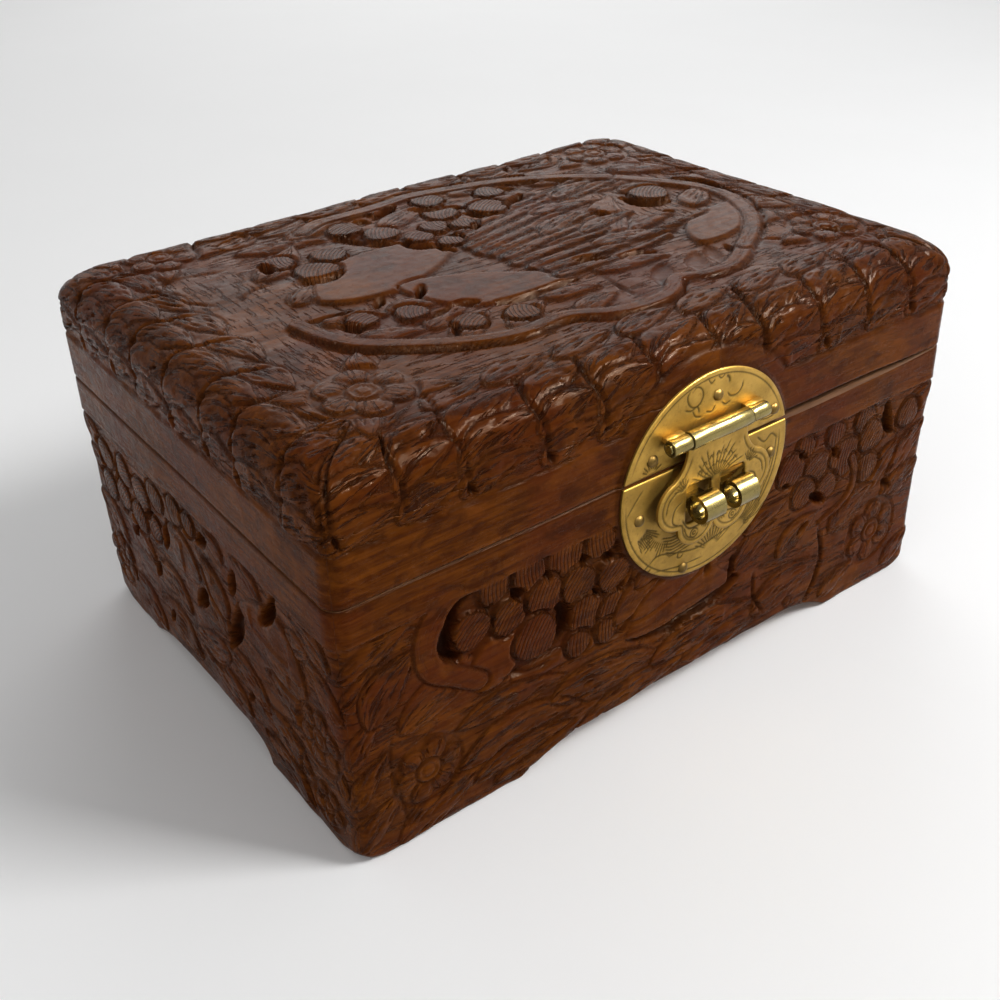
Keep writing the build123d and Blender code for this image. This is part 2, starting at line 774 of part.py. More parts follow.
outer_knuckles = [-knuckle_length, knuckle_length]

for side_name, hinge_x in zip(("left", "right"), hinge_places):
    with BuildPart() as base_leaf:
        hinge_leaf(hinge_x, -1, outer_knuckles)
    save(base_leaf, f"{side_name}_hinge_base_leaf")

    with BuildPart() as lid_leaf:
        hinge_leaf(hinge_x, 1, [0])
    save(lid_leaf, f"{side_name}_hinge_lid_leaf")

    with BuildPart() as hinge_pin:
        hinge_cylinder(hinge_x, hinge_length, hinge_pin_radius)
    save(hinge_pin, f"{side_name}_hinge_pin")

with BuildPart() as base_hinge_screws:
    with Locations(*screw_planes("base")):
        add(hinge_screw)
save(base_hinge_screws, "base_hinge_screws")

with BuildPart() as lid_hinge_screws:
    with Locations(*screw_planes("lid")):
        add(hinge_screw)
save(lid_hinge_screws, "lid_hinge_screws")

print("box", box_width, "x", box_depth, "x", round(lid_top, 2))
print("lid hinge axis", round(hinge_y, 3), round(hinge_z, 3))
print("hasp axis", round(lock_x, 3), round(barrel_y, 3), round(barrel_z, 3))
print("staple eyes", round(lock_x, 3), round(eye_y, 3), round(eye_z, 3))
print("front face", round(front_y, 3), "back face", round(back_y, 3))
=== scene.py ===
import math

import bmesh
import bpy
import numpy as np
from mathutils import Matrix, Vector
from mathutils.geometry import delaunay_2d_cdt


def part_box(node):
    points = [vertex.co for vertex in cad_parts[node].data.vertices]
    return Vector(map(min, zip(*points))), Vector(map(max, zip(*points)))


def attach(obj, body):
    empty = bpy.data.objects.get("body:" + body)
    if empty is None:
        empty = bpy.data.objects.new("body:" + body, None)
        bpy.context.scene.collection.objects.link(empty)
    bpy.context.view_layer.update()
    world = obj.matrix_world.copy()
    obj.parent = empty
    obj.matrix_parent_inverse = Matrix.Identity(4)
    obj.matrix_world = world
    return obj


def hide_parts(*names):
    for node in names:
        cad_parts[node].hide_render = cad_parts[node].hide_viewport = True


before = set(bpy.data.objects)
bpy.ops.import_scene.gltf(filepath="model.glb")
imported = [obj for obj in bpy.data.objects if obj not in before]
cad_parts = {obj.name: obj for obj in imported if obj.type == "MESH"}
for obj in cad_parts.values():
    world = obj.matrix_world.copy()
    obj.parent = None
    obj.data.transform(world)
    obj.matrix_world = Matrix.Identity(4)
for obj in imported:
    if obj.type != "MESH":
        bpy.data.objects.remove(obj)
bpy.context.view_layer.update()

# The looks of a carved keepsake box. Sizes are millimetres until a mesh is made.
# +X runs to the right along the front, +Y to the back and +Z up.

MM = 0.001


def box_of(node):
    """The lowest and highest corner of a CAD node, in millimetres."""
    low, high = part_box(node)
    return np.array(low) / MM, np.array(high) / MM


# ---- sizes read from the frame ----
lid_low_corner, lid_high_corner = box_of("lid_top_board")
LEFT, FRONT, BOARD_LOW = lid_low_corner
RIGHT, BACK, TOP = lid_high_corner
WIDTH, DEPTH = RIGHT - LEFT, BACK - FRONT
RIM = box_of("base_left_board")[1][2]
LID_LOW = box_of("lid_left_rail")[0][2]
PLATE_LOW, PLATE_HIGH = box_of("lower_lock_plate")
LOCK_X = (PLATE_LOW[0] + PLATE_HIGH[0]) / 2
PLATE_RADIUS = (PLATE_HIGH[0] - PLATE_LOW[0]) / 2
LOCK_Z = PLATE_LOW[2] + PLATE_RADIUS
PLATE_FACE = PLATE_LOW[1]
AXIS_Y = (box_of("hasp_pin")[0][1] + box_of("hasp_pin")[1][1]) / 2

# ---- sizes shared with the solids ----
WALL = 12.0
CORNER = 5.0  # rounding of the upright corners
EDGE = 10.0  # rounding along the top of the lid
ARCH = 7.2  # height of the arches between the feet
NOTCH_PITCH, NOTCH_WANDER = 19.5, 1.6  # notches round the edge of the lid
GROOVE_LOW, GROOVE_HIGH, GROOVE_DEPTH = 9.5, 15.65, 4.0
BOW_START, BOW_END, RIM_WEAR, LID_BOW = 104.5, 202.5, 1.4, 1.2

AXIS_Z = 14.5  # barrel axis above the centre of the lock plate
KNUCKLE_RADIUS, END_RADIUS, BORE_RADIUS = 2.4, 2.15, 1.35
KNUCKLE_LENGTH, END_LENGTH, END_OFFSET = 20.4, 6.05, 13.475
HASP_THICKNESS = 1.0
NECK_HALF, NECK_FLARE = KNUCKLE_LENGTH / 2, 0.9
WING_TOP, WING_HALF, WING_NOTCH, LOBE_HALF = 14.5, 19.6, 12.5, 7.4  # half widths of the hasp
WINDOW_X, WINDOW_DROP, WINDOW_HALF, WINDOW_CORNER = 5.9, 18.5, (4.3, 5.6), 1.2

# ---- how finely the wood and the brass are cut up ----
GRAIN_CELL = 0.45
LID_CELL = 0.68
BRASS_CELL = 0.32
CORNER_ROUNDING = 13.0  # of the flat part of the lid, seen from above
CORNER_SPAN = EDGE + CORNER_ROUNDING
CORNER_CELLS = 32

HINGE_LEAVES = [f"{side}_hinge_{body}_leaf" for body in ("base", "lid") for side in ("left", "right")]


def show(name, data):
    """Puts an object with this data in the scene."""
    shown = bpy.data.objects.new(name, data)
    bpy.context.scene.collection.objects.link(shown)
    return shown


def smooth(low, high, value):
    """0 below low, 1 above high, and a soft step between them."""
    t = np.clip((value - low) / (high - low), 0, 1)
    return t * t * (3 - 2 * t)


def noise(place, size, seed):
    """Soft noise between -1 and 1 at each place, with waves about as long as size."""
    table = np.random.default_rng(seed).uniform(-1, 1, 4096)
    scaled = place / size
    cell = np.floor(scaled).astype(np.int64)
    part = scaled - cell
    part = part * part * (3 - 2 * part)
    total = np.zeros(len(place))
    for corner in range(8):
        step = np.array([corner & 1, corner >> 1 & 1, corner >> 2 & 1])
        at = cell + step
        key = (at[:, 0] * 73856093 ^ at[:, 1] * 19349663 ^ at[:, 2] * 83492791) % 4096
        total += table[key] * np.prod(np.where(step, part, 1 - part), axis=1)
    return total


def bend(points, steps=8):
    """A smooth line through a few points."""
    points = np.array(points, float)
    ends = np.vstack([2 * points[0] - points[1], points, 2 * points[-1] - points[-2]])
    t = np.linspace(0, 1, steps, endpoint=False)[:, None]
    spans = []
    for a, b, c, d in zip(ends, ends[1:], ends[2:], ends[3:]):
        spans.append(
            0.5 * (2 * b + (c - a) * t + (2 * a - 5 * b + 4 * c - d) * t**2
                   + (3 * b - a - 3 * c + d) * t**3)
        )
    return np.vstack([*spans, points[-1:]])


def along(line, x, y):
    """Each point's distance from a line, positive on its left, and how far along it is."""
    nearest = np.full(len(x), 1e9)
    across, run = np.zeros(len(x)), np.zeros(len(x))
    passed = 0.0
    for start, end in zip(line, line[1:]):
        way = end - start
        length = math.hypot(*way)
        t = np.clip(((x - start[0]) * way[0] + (y - start[1]) * way[1]) / length**2, 0, 1)
        dx, dy = x - start[0] - t * way[0], y - start[1] - t * way[1]
        gap = np.hypot(dx, dy)
        closer = gap < nearest
        nearest = np.where(closer, gap, nearest)
        sign = np.where(way[0] * dy - way[1] * dx < 0, -1.0, 1.0)
        across = np.where(closer, sign * gap, across)
        run = np.where(closer, passed + t * length, run)
        passed += length
    return across, run, passed


class Relief:
    """A face of wood that is carved. Depths go inwards from the uncut face."""

    def __init__(self, x, y, place, kept=None):
        self.x, self.y, self.place = x, y, place
        n = len(x)
        self.kept = kept or {
            "depth": np.zeros(n),
            "mark": np.zeros(n),  # dirt and old varnish left in a cut, and painted shade in its hollow
            "across": np.zeros(n),  # of the gouge strokes, in millimetres
            "run": np.zeros(n),
            "stroke": np.zeros(n),
            "hatch": np.zeros(n),
        }

    def seen(self, x, y):
        """The same wood under other coordinates."""
        return Relief(x, y, self.place, self.kept)

    def near(self, x, y, reach):
        return np.flatnonzero((np.abs(self.x - x) < reach) & (np.abs(self.y - y) < reach))

    def around(self, line, reach):
        low, high = line.min(0) - reach, line.max(0) + reach
        return np.flatnonzero(
            (self.x > low[0]) & (self.x < high[0]) & (self.y > low[1]) & (self.y < high[1])
        )

    def lay(self, at, gap, level, crown=0.0, reach=3.0, trench=0.0, lip=1.5, soft=0.8,
            mark=0.7):
        """Lays a shape over what is carved so far. Gap is the distance outside its outline,
        and the wood around it is cut down by the trench."""
        k = self.kept
        inside = smooth(soft / 2, -soft / 2, gap)
        dome = 1 - np.clip(1 + gap / reach, 0, 1) ** 2
        moat = (level + trench) * smooth(lip, 0, gap)
        around = np.maximum(k["depth"][at], moat)
        k["depth"][at] = around * (1 - inside) + (level - crown * dome) * inside
        # painted shade with dirt along the outline of each shape, in its moat
        edge = mark * smooth(lip * 0.8, 0, np.abs(gap))
        k["mark"][at] = np.maximum(k["mark"][at] * (1 - inside), edge)
        for name in ("stroke", "hatch"):
            k[name][at] *= 1 - smooth(0.8, 0.2, gap)
        return inside

    def cut(self, at, amount, mark=1.0):
        """Cuts further into what is there."""
        k = self.kept
        k["depth"][at] += amount
        # the deeper the cut, the darker: dirt and painted shade
        k["mark"][at] = np.maximum(k["mark"][at], np.clip(mark * amount / 1.2, 0, 1))

    def flow(self, at, inside, across, run, stroke=1.0, hatch=0.0):
        """Says which way the gouge strokes run over a shape."""
        k = self.kept
        on = inside > 0.5
        k["across"][at[on]] = across[on]
        k["run"][at[on]] = run[on]
        k["stroke"][at] = np.maximum(k["stroke"][at], stroke * inside)
        k["hatch"][at] = np.maximum(k["hatch"][at], hatch * inside)


def ribs(across, run, spacing, length, seed):
    """Short gouge strokes side by side: 1 in the middle of a stroke, 0 between strokes."""
    rng = np.random.default_rng(seed)
    phase, pace = rng.uniform(0, 7, 64), rng.uniform(0.7, 1.3, 64)
    lane = across / spacing + 0.3 * np.sin(run / length * 2.3 + phase[0])
    number = np.floor(lane).astype(int)
    middle = 2 * np.abs(lane - number - 0.5)
    beat = np.sin(run / length * 6.28 * pace[number % 64] + phase[number % 64])
    reach = np.clip(0.15 + 0.85 * beat, 0.01, 1)
    return smooth(0.75, 0.0, middle / reach) * smooth(0.0, 0.25, beat)


# ---- carved motifs ----


def disc(face, x, y, radius, level=0.35, turn=0.6, trench=1.2, crown=0.45):
    """A domed disc with curved hatching, as pine needles are often carved."""
    at = face.near(x, y, radius + 4)
    dx, dy = face.x[at] - x, face.y[at] - y
    angle = np.arctan2(dy, dx)
    gap = np.hypot(dx, dy) - radius * (1 + 0.05 * np.sin(3 * angle + 9 * turn))
    inside = face.lay(at, gap, level, crown, radius * 0.9, trench, 1.3)
    # Turn is the way the lines run, which curve a little round a far middle.
    far_x, far_y = dx - 2.6 * radius * math.sin(turn), dy + 2.6 * radius * math.cos(turn)
    shell = np.hypot(far_x, far_y) + radius * 3.1
    face.flow(at, inside * smooth(0, -0.8, gap), shell, np.arctan2(far_y, far_x) * radius, 0.2, 1.0)


def leaf(face, tail, tip, width, bow=0.0, level=0.35, crown=0.4, trench=0.5, vein=0.8, seed=1,
         hatch=0.0, blunt=0.75, soft=1.1):
    """A pointed leaf with a bowed midrib and strokes that follow its edges."""
    tail, tip = np.array(tail, float), np.array(tip, float)
    way = tip - tail
    length = math.hypot(*way)
    way /= length
    middle = (tail + tip) / 2
    at = face.near(middle[0], middle[1], length / 2 + abs(bow) + width / 2 + 3)
    dx, dy = face.x[at] - tail[0], face.y[at] - tail[1]
    t = (dx * way[0] + dy * way[1]) / length
    side = dy * way[0] - dx * way[1]
    inner = np.clip(t, 0.001, 0.999)
    off = side - bow * 4 * inner * (1 - inner)
    half = width / 2 * np.sin(math.pi * inner**blunt) ** 0.8 + 0.01
    beyond = (np.clip(t, 0, 1) - t) * length
    gap = np.where(beyond != 0, np.hypot(np.abs(off), beyond), np.abs(off) - half)
    inside = face.lay(at, gap, level, crown, width / 3, trench, 1.0, soft, 0.55)
    across = off / half * width / 2
    run = t * length
    if vein:
        cuts = ribs(off * (0.55 + 0.45 * width / 2 / half), run, 1.9, 9.0, seed)
        face.cut(at, inside * vein * 0.52 * cuts * smooth(0, -0.9, gap), 1.1)
    face.flow(at, inside, across + 17.0 * seed, run, vein, hatch)


def band(face, points, width_start, width_end, level=0.2, crown=0.3, trench=1.4, stroke=0.5,
         rib=0.0, lip=1.5, seed=3):
    """A raised band along a line, such as a branch or a border."""
    line = bend(points)
    at = face.around(line, max(width_start, width_end) / 2 + 3)
    across, run, length = along(line, face.x[at], face.y[at])
    half = (width_start + (width_end - width_start) * run / length) / 2
    gap = np.abs(across) - half
    inside = face.lay(at, gap, level, crown, max(width_start, width_end) / 2.5, trench, lip)
    if rib:
        face.cut(at, inside * rib * ribs(across, run, 1.7, 14.0, seed) * smooth(0, -0.6, gap), 0.8)
    face.flow(at, inside, across, run, stroke)


def groove(face, points, width, depth, mark=1.0):
    """A tapering groove along a line."""
    line = bend(points)
    at = face.around(line, width + 1)
    across, run, length = along(line, face.x[at], face.y[at])
    taper = smooth(0, 0.18, run / length) * smooth(1, 0.82, run / length)
    shape = np.clip(1 - np.abs(across) / (width / 2), 0, 1) ** 1.2
    face.cut(at, depth * shape * (0.25 + 0.75 * taper), mark)


def pocket(face, points, width, depth, floor_waves=0.4):
    """A deep hole that follows a short line, wider in its middle."""
    line = bend(points)
    at = face.around(line, width / 2 + 3)
    across, run, length = along(line, face.x[at], face.y[at])
    t = np.clip(run / length, 0, 1)
    half = width / 2 * (0.25 + 0.75 * np.sin(math.pi * (0.06 + 0.88 * t)))
    gap = np.abs(across) - half
    k = face.kept
    inside = smooth(0.7, -0.9, gap)
    rough = floor_waves * noise(face.place[at], 1.6, 11)
    k["depth"][at] = np.maximum(k["depth"][at], (depth + rough) * inside)
    # painted shade with dirt: deep holes are darkened
    k["mark"][at] = np.maximum(k["mark"][at], 1.0 * smooth(0.4, -0.5, gap))
    for name in ("stroke", "hatch"):
        k[name][at] *= 1 - inside


def sink(face, corners, depth, soft=1.2):
    """Sinks the ground inside a closed outline."""
    line = bend([*corners, corners[0]], 5)
    at = face.around(line, 2)
    x, y = face.x[at], face.y[at]
    across = along(line, x, y)[0]
    inside = np.zeros(len(at), bool)
    for a, b in zip(line, line[1:]):
        crosses = (a[1] > y) != (b[1] > y)
        where = a[0] + (y - a[1]) / np.where(b[1] == a[1], 1e-9, b[1] - a[1]) * (b[0] - a[0])
        inside ^= crosses & (x < where)
    gap = np.where(inside, -np.abs(across), np.abs(across))
    share = smooth(soft / 2, -soft / 2, gap)
    k = face.kept
    k["depth"][at] = np.maximum(k["depth"][at], depth * share)
    # painted shade with dirt on the sunk ground
    k["mark"][at] = np.maximum(k["mark"][at], 0.5 * share)


def flower(face, x, y, radius, petals=5, turn=0.3, level=0.25):
    """An open flower with a ringed heart."""
    at = face.near(x, y, radius + 3)
    away = np.hypot(face.x[at] - x, face.y[at] - y)
    inside = face.lay(at, away - radius * 1.03, 0.9, 0.2, radius, 0.2, 1.5, 1.6, 0.3)
    for i in range(petals):
        angle = turn + i * 2 * math.pi / petals
        px, py = x + 0.64 * radius * math.cos(angle), y + 0.64 * radius * math.sin(angle)
        at = face.near(px, py, radius * 0.48 + 3)
        dx, dy = face.x[at] - px, face.y[at] - py
        gap = np.hypot(dx, dy) - radius * 0.36
        inside = face.lay(at, gap, level, 0.35, radius * 0.3, 0.5, 1.0, 1.0, 0.6)
        turned = np.arctan2(face.y[at] - y, face.x[at] - x)
        out = np.hypot(face.x[at] - x, face.y[at] - y)
        face.flow(at, inside, turned * radius * 0.7, out, 0.8)
        fan = smooth(0.5, 0.0, np.abs(gap + radius * 0.14))
        face.cut(at, 0.3 * inside * fan, 0.8)
    at = face.near(x, y, radius * 0.5 + 2)
    away = np.hypot(face.x[at] - x, face.y[at] - y)
    face.lay(at, away - radius * 0.36, level - 0.05, 0.2, radius * 0.2, 0.8, 1.1, 0.8, 0.9)
    ring = smooth(0.6, 0.1, np.abs(away - radius * 0.2))
    face.cut(at, 0.5 * ring, 0.9)


# ---- the four sides, unrolled ----
UNROLLED = CORNER * (1 - math.pi / 4)  # a side's own coordinate at the middle of a corner
SIDES = ["front", "right", "back", "left"]
LENGTH = {"front": WIDTH, "right": DEPTH, "back": WIDTH, "left": DEPTH}
ORIGIN = {
    "front": (LEFT, FRONT), "right": (RIGHT, FRONT),
    "back": (RIGHT, BACK), "left": (LEFT, BACK),
}
ALONG = {"front": (1, 0), "right": (0, 1), "back": (-1, 0), "left": (0, -1)}
START = {}
ROUND = 0.0
for side_name in SIDES:
    START[side_name] = ROUND
    ROUND += LENGTH[side_name] - 2 * UNROLLED


def faces_of(relief, g, y):
    """The relief seen square on from each of the four sides."""
    views = {}
    for side in SIDES:
        middle = START[side] + LENGTH[side] / 2 - UNROLLED
        turned = middle + (g - middle + ROUND / 2) % ROUND - ROUND / 2
        views[side] = relief.seen(turned - START[side] + UNROLLED, y)
    return views


ARCHES = {
    "front": (47.5, 165.5, 22.0, 22.0),
    "right": (44.5, 119.5, 8.0, 29.0),
    "back": (43.5, 161.5, 22.0, 22.0),
    "left": (28.5, 103.5, 29.0, 8.0),
}


def bow(a):
    """The share of the bow along the front rim at each place."""
    chord = BOW_END - BOW_START
    t = np.clip((a - BOW_START) / chord, 0, 1)
    return 4 * t * (1 - t)


# ---- carving programmes ----

BAND_LOW = 65.4  # lower edge of the plain band round the base
LID_BAND_HIGH = 89.0  # upper edge of the plain band round the lid


def carve_base(relief, g, z):
    """The whole outside of the base."""
    views = faces_of(relief, g, z)
    k = relief.kept
    k["depth"][:] = 0.55 * smooth(BAND_LOW + 0.4, BAND_LOW - 0.5, z)
    # dirt and painted shade in the step under the plain band
    k["mark"][:] = 0.35 * smooth(0.9, 0.1, np.abs(z - BAND_LOW + 0.3))
    k["across"][:] = z
    k["run"][:] = g
    k["stroke"][:] = 0.15 + 0.6 * smooth(BAND_LOW, BAND_LOW - 1, z)
    front, right, back, left = (views[s] for s in SIDES)

    carve_front_base(front)
    carve_side_base(left, False)
    carve_side_base(right, True)
    carve_back_base(back)

    plain = smooth(BAND_LOW - 0.4, BAND_LOW + 0.3, z)
    for name in ("depth", "hatch"):
        k[name] *= 1 - plain
    k["stroke"] = k["stroke"] * (1 - plain) + 0.12 * plain
    # painted shade along the top of the rim, in the seam under the lid
    k["mark"] = np.maximum(k["mark"] * (1 - plain), 0.7 * smooth(0.9, 0.0, RIM - z))

    # The edges of the boards are eased, most of all at the feet.
    worn_foot = sum(smooth(9.0, 0.0, np.abs(v.x - e)) for v, e in (
        (front, 0), (front, WIDTH), (back, 0), (back, WIDTH)))
    k["depth"] += (0.8 + 2.4 * worn_foot) * smooth(5.0 * (0.35 + 0.65 * worn_foot), -0.5, z) ** 2
    k["depth"] += 0.35 * smooth(RIM - 1.0, RIM + 0.1, z) ** 2
    finish_wood(k, relief.place, smooth(BAND_LOW + 2, BAND_LOW, z))
    lock_land(k, front, z)
    hinge_land(k, back, z)
    np.maximum(k["depth"], 0, out=k["depth"])


def finish_wood(k, place, carved):
    """Hand work leaves the wood a little uneven, more where it is carved."""
    k["depth"] += 0.4 + 0.4 * noise(place, 22.0, 5)
    k["depth"] += 0.16 * noise(place, 6.5, 6) * (0.3 + carved)
    k["depth"] += 0.06 * noise(place, 2.2, 7) * carved


def lock_land(k, front, height):
    """The wood under the lock plate is flat, the carving stops at its edge, and a ring of painted
    shade darkens the wood round the plate.
    """
    away = np.hypot(front.x - (LOCK_X - LEFT), height - LOCK_Z)
    share = smooth(PLATE_RADIUS + 1.6, PLATE_RADIUS + 0.5, away)
    for name in ("depth", "stroke", "hatch", "mark"):
        k[name] *= 1 - share
    # painted shade with dirt: a dark ring round the edge of the lock plate
    ring = smooth(1.8, 0.2, np.abs(away - PLATE_RADIUS - 0.2))
    k["mark"] = np.maximum(k["mark"], 0.85 * ring)


def hinge_land(k, back, height):
    """The wood under the hinge leaves is flat."""
    for leaf_name in HINGE_LEAVES:
        low, high = box_of(leaf_name)
        x_low, x_high = RIGHT - high[0], RIGHT - low[0]
        gap = np.maximum.reduce(
            [x_low - back.x, back.x - x_high, low[2] - height, height - high[2]]
        )
        share = smooth(1.6, 0.5, gap)
        for name in ("depth", "stroke", "mark"):
            k[name] *= 1 - share


def carve_front_base(face):
    """The front of the base: x from the left edge and y from the table."""
    # the ground: long shallow leaves that sweep up from the feet to the middle
    for tail, tip, width, bow, seed in (
        ((40, 4), (80, 12), 10, 1.5, 100), ((66, 6), (110, 12), 9, 1.5, 101),
        ((104, 10), (140, 12), 9, 1.0, 102), ((0, 56), (19, 64), 8, 0.5, 4),
        ((0, 48), (9, 58), 7, -1, 5), ((0, 30), (10, 44), 7, 1, 8), ((0, 18), (11, 32), 7, 1, 9),
        ((0, 4), (14, 18), 9, 1, 10), ((12, 1), (40, 14), 12, 1.5, 11),
    ):
        leaf(face, tail, tip, width, bow, seed=seed)
    leaf(face, (6.5, 41), (21, 57), 12, 2.2, 0.2, 0.5, 0.9, 0.9, 6, 0, 0.75, 1.4)
    leaf(face, (14, 35.5), (38, 41), 11, 3.0, 0.25, 0.5, 0.7, 0.8, 7, 0, 0.75, 1.2)

    # the sunk field with its discs
    sink(face, [(31, 64.5), (28, 57), (30, 51), (38, 44), (44, 36), (56, 32.5), (72, 30.5),
                (83, 31), (86, 44), (81, 65), (60, 65), (40, 65)], 1.5)
    leaf(face, (36, 36), (51, 50), 14, 0.5, 0.35, 0.8, 0.7, 0.0, 12)
    leaf(face, (46, 33.8), (84, 33), 5, -0.5, 0.8, 0.4, 0.5, 0.0, 13)
    leaf(face, (78, 42), (86, 62), 9, 0.5, 0.5, 0.5, 0.9, 0.3, 14)
    for x, y, radius, turn in (
        (42.0, 63.6, 4.6, 1.5), (52.3, 63.2, 5.2, 1.6), (63.2, 62.6, 5.6, 1.5),
        (74.0, 62.8, 5.0, 1.7), (46.2, 53.2, 5.2, 0.9), (57.0, 54.6, 5.6, 1.2),
        (67.5, 53.0, 5.6, 0.9), (78.5, 51.0, 5.4, 0.8), (69.6, 43.0, 6.0, 1.4),
        (79.0, 40.5, 5.2, 1.2), (67.0, 35.0, 4.2, 1.5), (76.5, 34.6, 4.0, 1.5),
        (54.0, 43.6, 6.8, 1.1), (35.4, 54.7, 5.6, 0.8),
    ):
        disc(face, x, y, radius, 0.35, turn, 1.3, 0.45)
    for points, width, depth in (
        ([(35.5, 65.5), (30.8, 62), (28.2, 56), (29.0, 50.8), (31.5, 48.5)], 5.0, 3.8),
        ([(60.5, 49.5), (63.0, 46.5), (61.8, 40.5), (59.5, 38)], 4.2, 3.6),
        ([(48, 60), (50, 57.2)], 3.6, 3.6), ([(57.5, 61), (58.3, 58.8)], 2.4, 3.0),
        ([(68.6, 60.2), (70, 58.0)], 2.6, 3.2), ([(75.3, 58.2), (78.5, 56.2)], 3.6, 3.6),
        ([(40.5, 57.5), (41, 59.5)], 2.2, 2.6), ([(72.6, 48.6), (74, 46.5)], 2.2, 2.8),
        ([(80.5, 45), (82, 47)], 2.2, 2.6),
    ):
        pocket(face, points, width, depth)
    groove(face, [(43, 36.5), (52, 34), (60, 33.8)], 2.0, 1.1)

    # the smooth curved band round the field, which runs into a smooth mound
    band(face, [(30.5, 66), (24.6, 61), (22.9, 54), (25.0, 48.0), (31, 43.5), (37, 39)],
         7.6, 5.4, 0.1, 0.05, 0.9, 0.2, 0.0, 1.0)
    pocket(face, [(34.5, 65), (31.0, 61.5), (29.2, 56), (30.0, 51.6)], 3.6, 4.0)

    # below the lock: a smooth petal over a crescent hollow
    leaf(face, (79, 35), (97, 46), 9, 1.0, 0.3, 0.6, 0.9, 0.2, 14)
    leaf(face, (86, 43), (100, 50), 7, 0.5, 0.5, 0.4, 0.7, 0.3, 15)
    pocket(face, [(84.5, 28), (92, 25.8), (104, 24.6), (116, 25.6), (124.0, 29.0)], 6.0, 3.2, 0.15)
    leaf(face, (83, 28.5), (123, 29.5), 15, 5.0, 0.2, 0.3, 0.5, 0.0, 16, 0, 0.85)
    leaf(face, (85, 33.5), (112, 39.5), 8, 1.5, 0.15, 0.3, 0.5, 0.0, 33, 0, 0.85)
    pocket(face, [(121.0, 28.5), (122.6, 33), (122.2, 36.5)], 2.4, 2.8)
    pocket(face, [(111.5, 36), (113, 39)], 2.0, 2.0)
    groove(face, [(84, 27.5), (92, 23.6), (104, 21.8), (116, 22.6), (126, 26.5)], 1.8, 0.8, 0.6)

    # right of the lock
    for tail, tip, width, bow, level, seed in (
        ((123, 32), (139, 42), 9, 1.2, 0.3, 17), ((126, 42), (143, 48), 7, 0.5, 0.4, 18),
        ((186, 38), (204, 52), 10, 1.0, 0.4, 34), ((188, 52), (204, 64), 10, 1.0, 0.4, 35),
        ((178, 36), (190, 50), 9, 1.0, 0.35, 36), ((140, 28), (156, 38), 9, 1.5, 0.3, 19),
        ((162, 28), (180, 38), 10, 1.5, 0.3, 20), ((184, 28), (204, 38), 10, 1.2, 0.35, 21),
    ):
        leaf(face, tail, tip, width, bow, level, 0.5, 0.6, 0.8, seed)
    for x, y, radius, turn in (
        (147.5, 61.5, 4.0, 1.5), (160.0, 61.5, 4.2, 1.5), (172.5, 61.5, 4.6, 1.4),
        (142.5, 56.0, 5.6, 1.0), (153.5, 53.0, 5.4, 0.7), (148.5, 46.5, 5.0, 0.9),
        (165.0, 52.5, 6.4, 1.4), (176.5, 55.0, 5.4, 1.0), (158.5, 45.0, 4.6, 0.4),
        (176.0, 45.0, 5.0, 1.5), (192.5, 57.0, 5.0, 1.1),
    ):
        disc(face, x, y, radius, 0.3, turn, 1.0, 0.45)
    for points, width, depth in (
        ([(152.0, 44.5), (155.0, 42.5), (158, 40)], 3.2, 3.4), ([(148.5, 33), (151, 35.5)], 2.2, 2.6),
        ([(182.5, 63), (183.2, 57), (186, 52.5)], 3.8, 3.4),
        ([(160.2, 56.5), (161.5, 53.5)], 2.2, 3.0), ([(140, 52.2), (142.5, 50.5)], 2.2, 2.6),
        ([(145.6, 59.8), (147.5, 58.6)], 2.0, 2.6), ([(185, 36.5), (187.5, 34.0)], 3.0, 2.4),
    ):
        pocket(face, points, width, depth)
    band(face, [(168.5, 51), (170.5, 46), (170.0, 40.0), (165, 35.5), (158, 33)],
         3.0, 2.0, 0.25, 0.2, 0.8, 0.3, 0.0, 1.0)

    # the lower border: a long sweep of leaves and two flowers
    leaf(face, (30, 27.5), (64, 27), 8, 2.0, 0.25, 0.4, 0.5, 0.9, 22)
    leaf(face, (30, 15), (68, 16.5), 11, 3.5, 0.2, 0.5, 0.7, 1.0, 23)
    leaf(face, (34, 8), (66, 11), 8, 1.5, 0.35, 0.4, 0.5, 0.9, 24)
    leaf(face, (58, 21), (96, 18), 12, 1.5, 0.2, 0.4, 0.6, 1.0, 25)
    leaf(face, (92, 15.5), (132, 18), 11, 1.5, 0.2, 0.4, 0.6, 1.0, 27)
    leaf(face, (131, 13), (160, 20), 13, 1.0, 0.2, 0.5, 0.7, 0.7, 29)
    groove(face, [(131.5, 27), (132.5, 18), (136.5, 11)], 1.8, 1.3)
    groove(face, [(158, 31), (160.5, 21), (158.5, 12), (155.0, 6)], 2.2, 1.6)
    groove(face, [(60, 21.5), (65, 18.5), (71, 12.5)], 1.6, 0.8)
    flower(face, 21.3, 20.3, 9.4, 6, 0.2)
    flower(face, 182.5, 20.0, 10.5, 6, 0.5)
    disc(face, 147, 9.8, 1.6, 0.4, 0, 0.6, 0.3)
    disc(face, 165.4, 6.0, 1.8, 0.4, 0, 0.6, 0.3)
    leaf(face, (161, 5), (176, 12), 7, 0, seed=30)
    leaf(face, (190, 4), (204, 13), 8, 0, seed=31)
    groove(face, [(12.5, 36), (11.5, 26), (13.5, 16), (15, 6)], 1.5, 0.7)


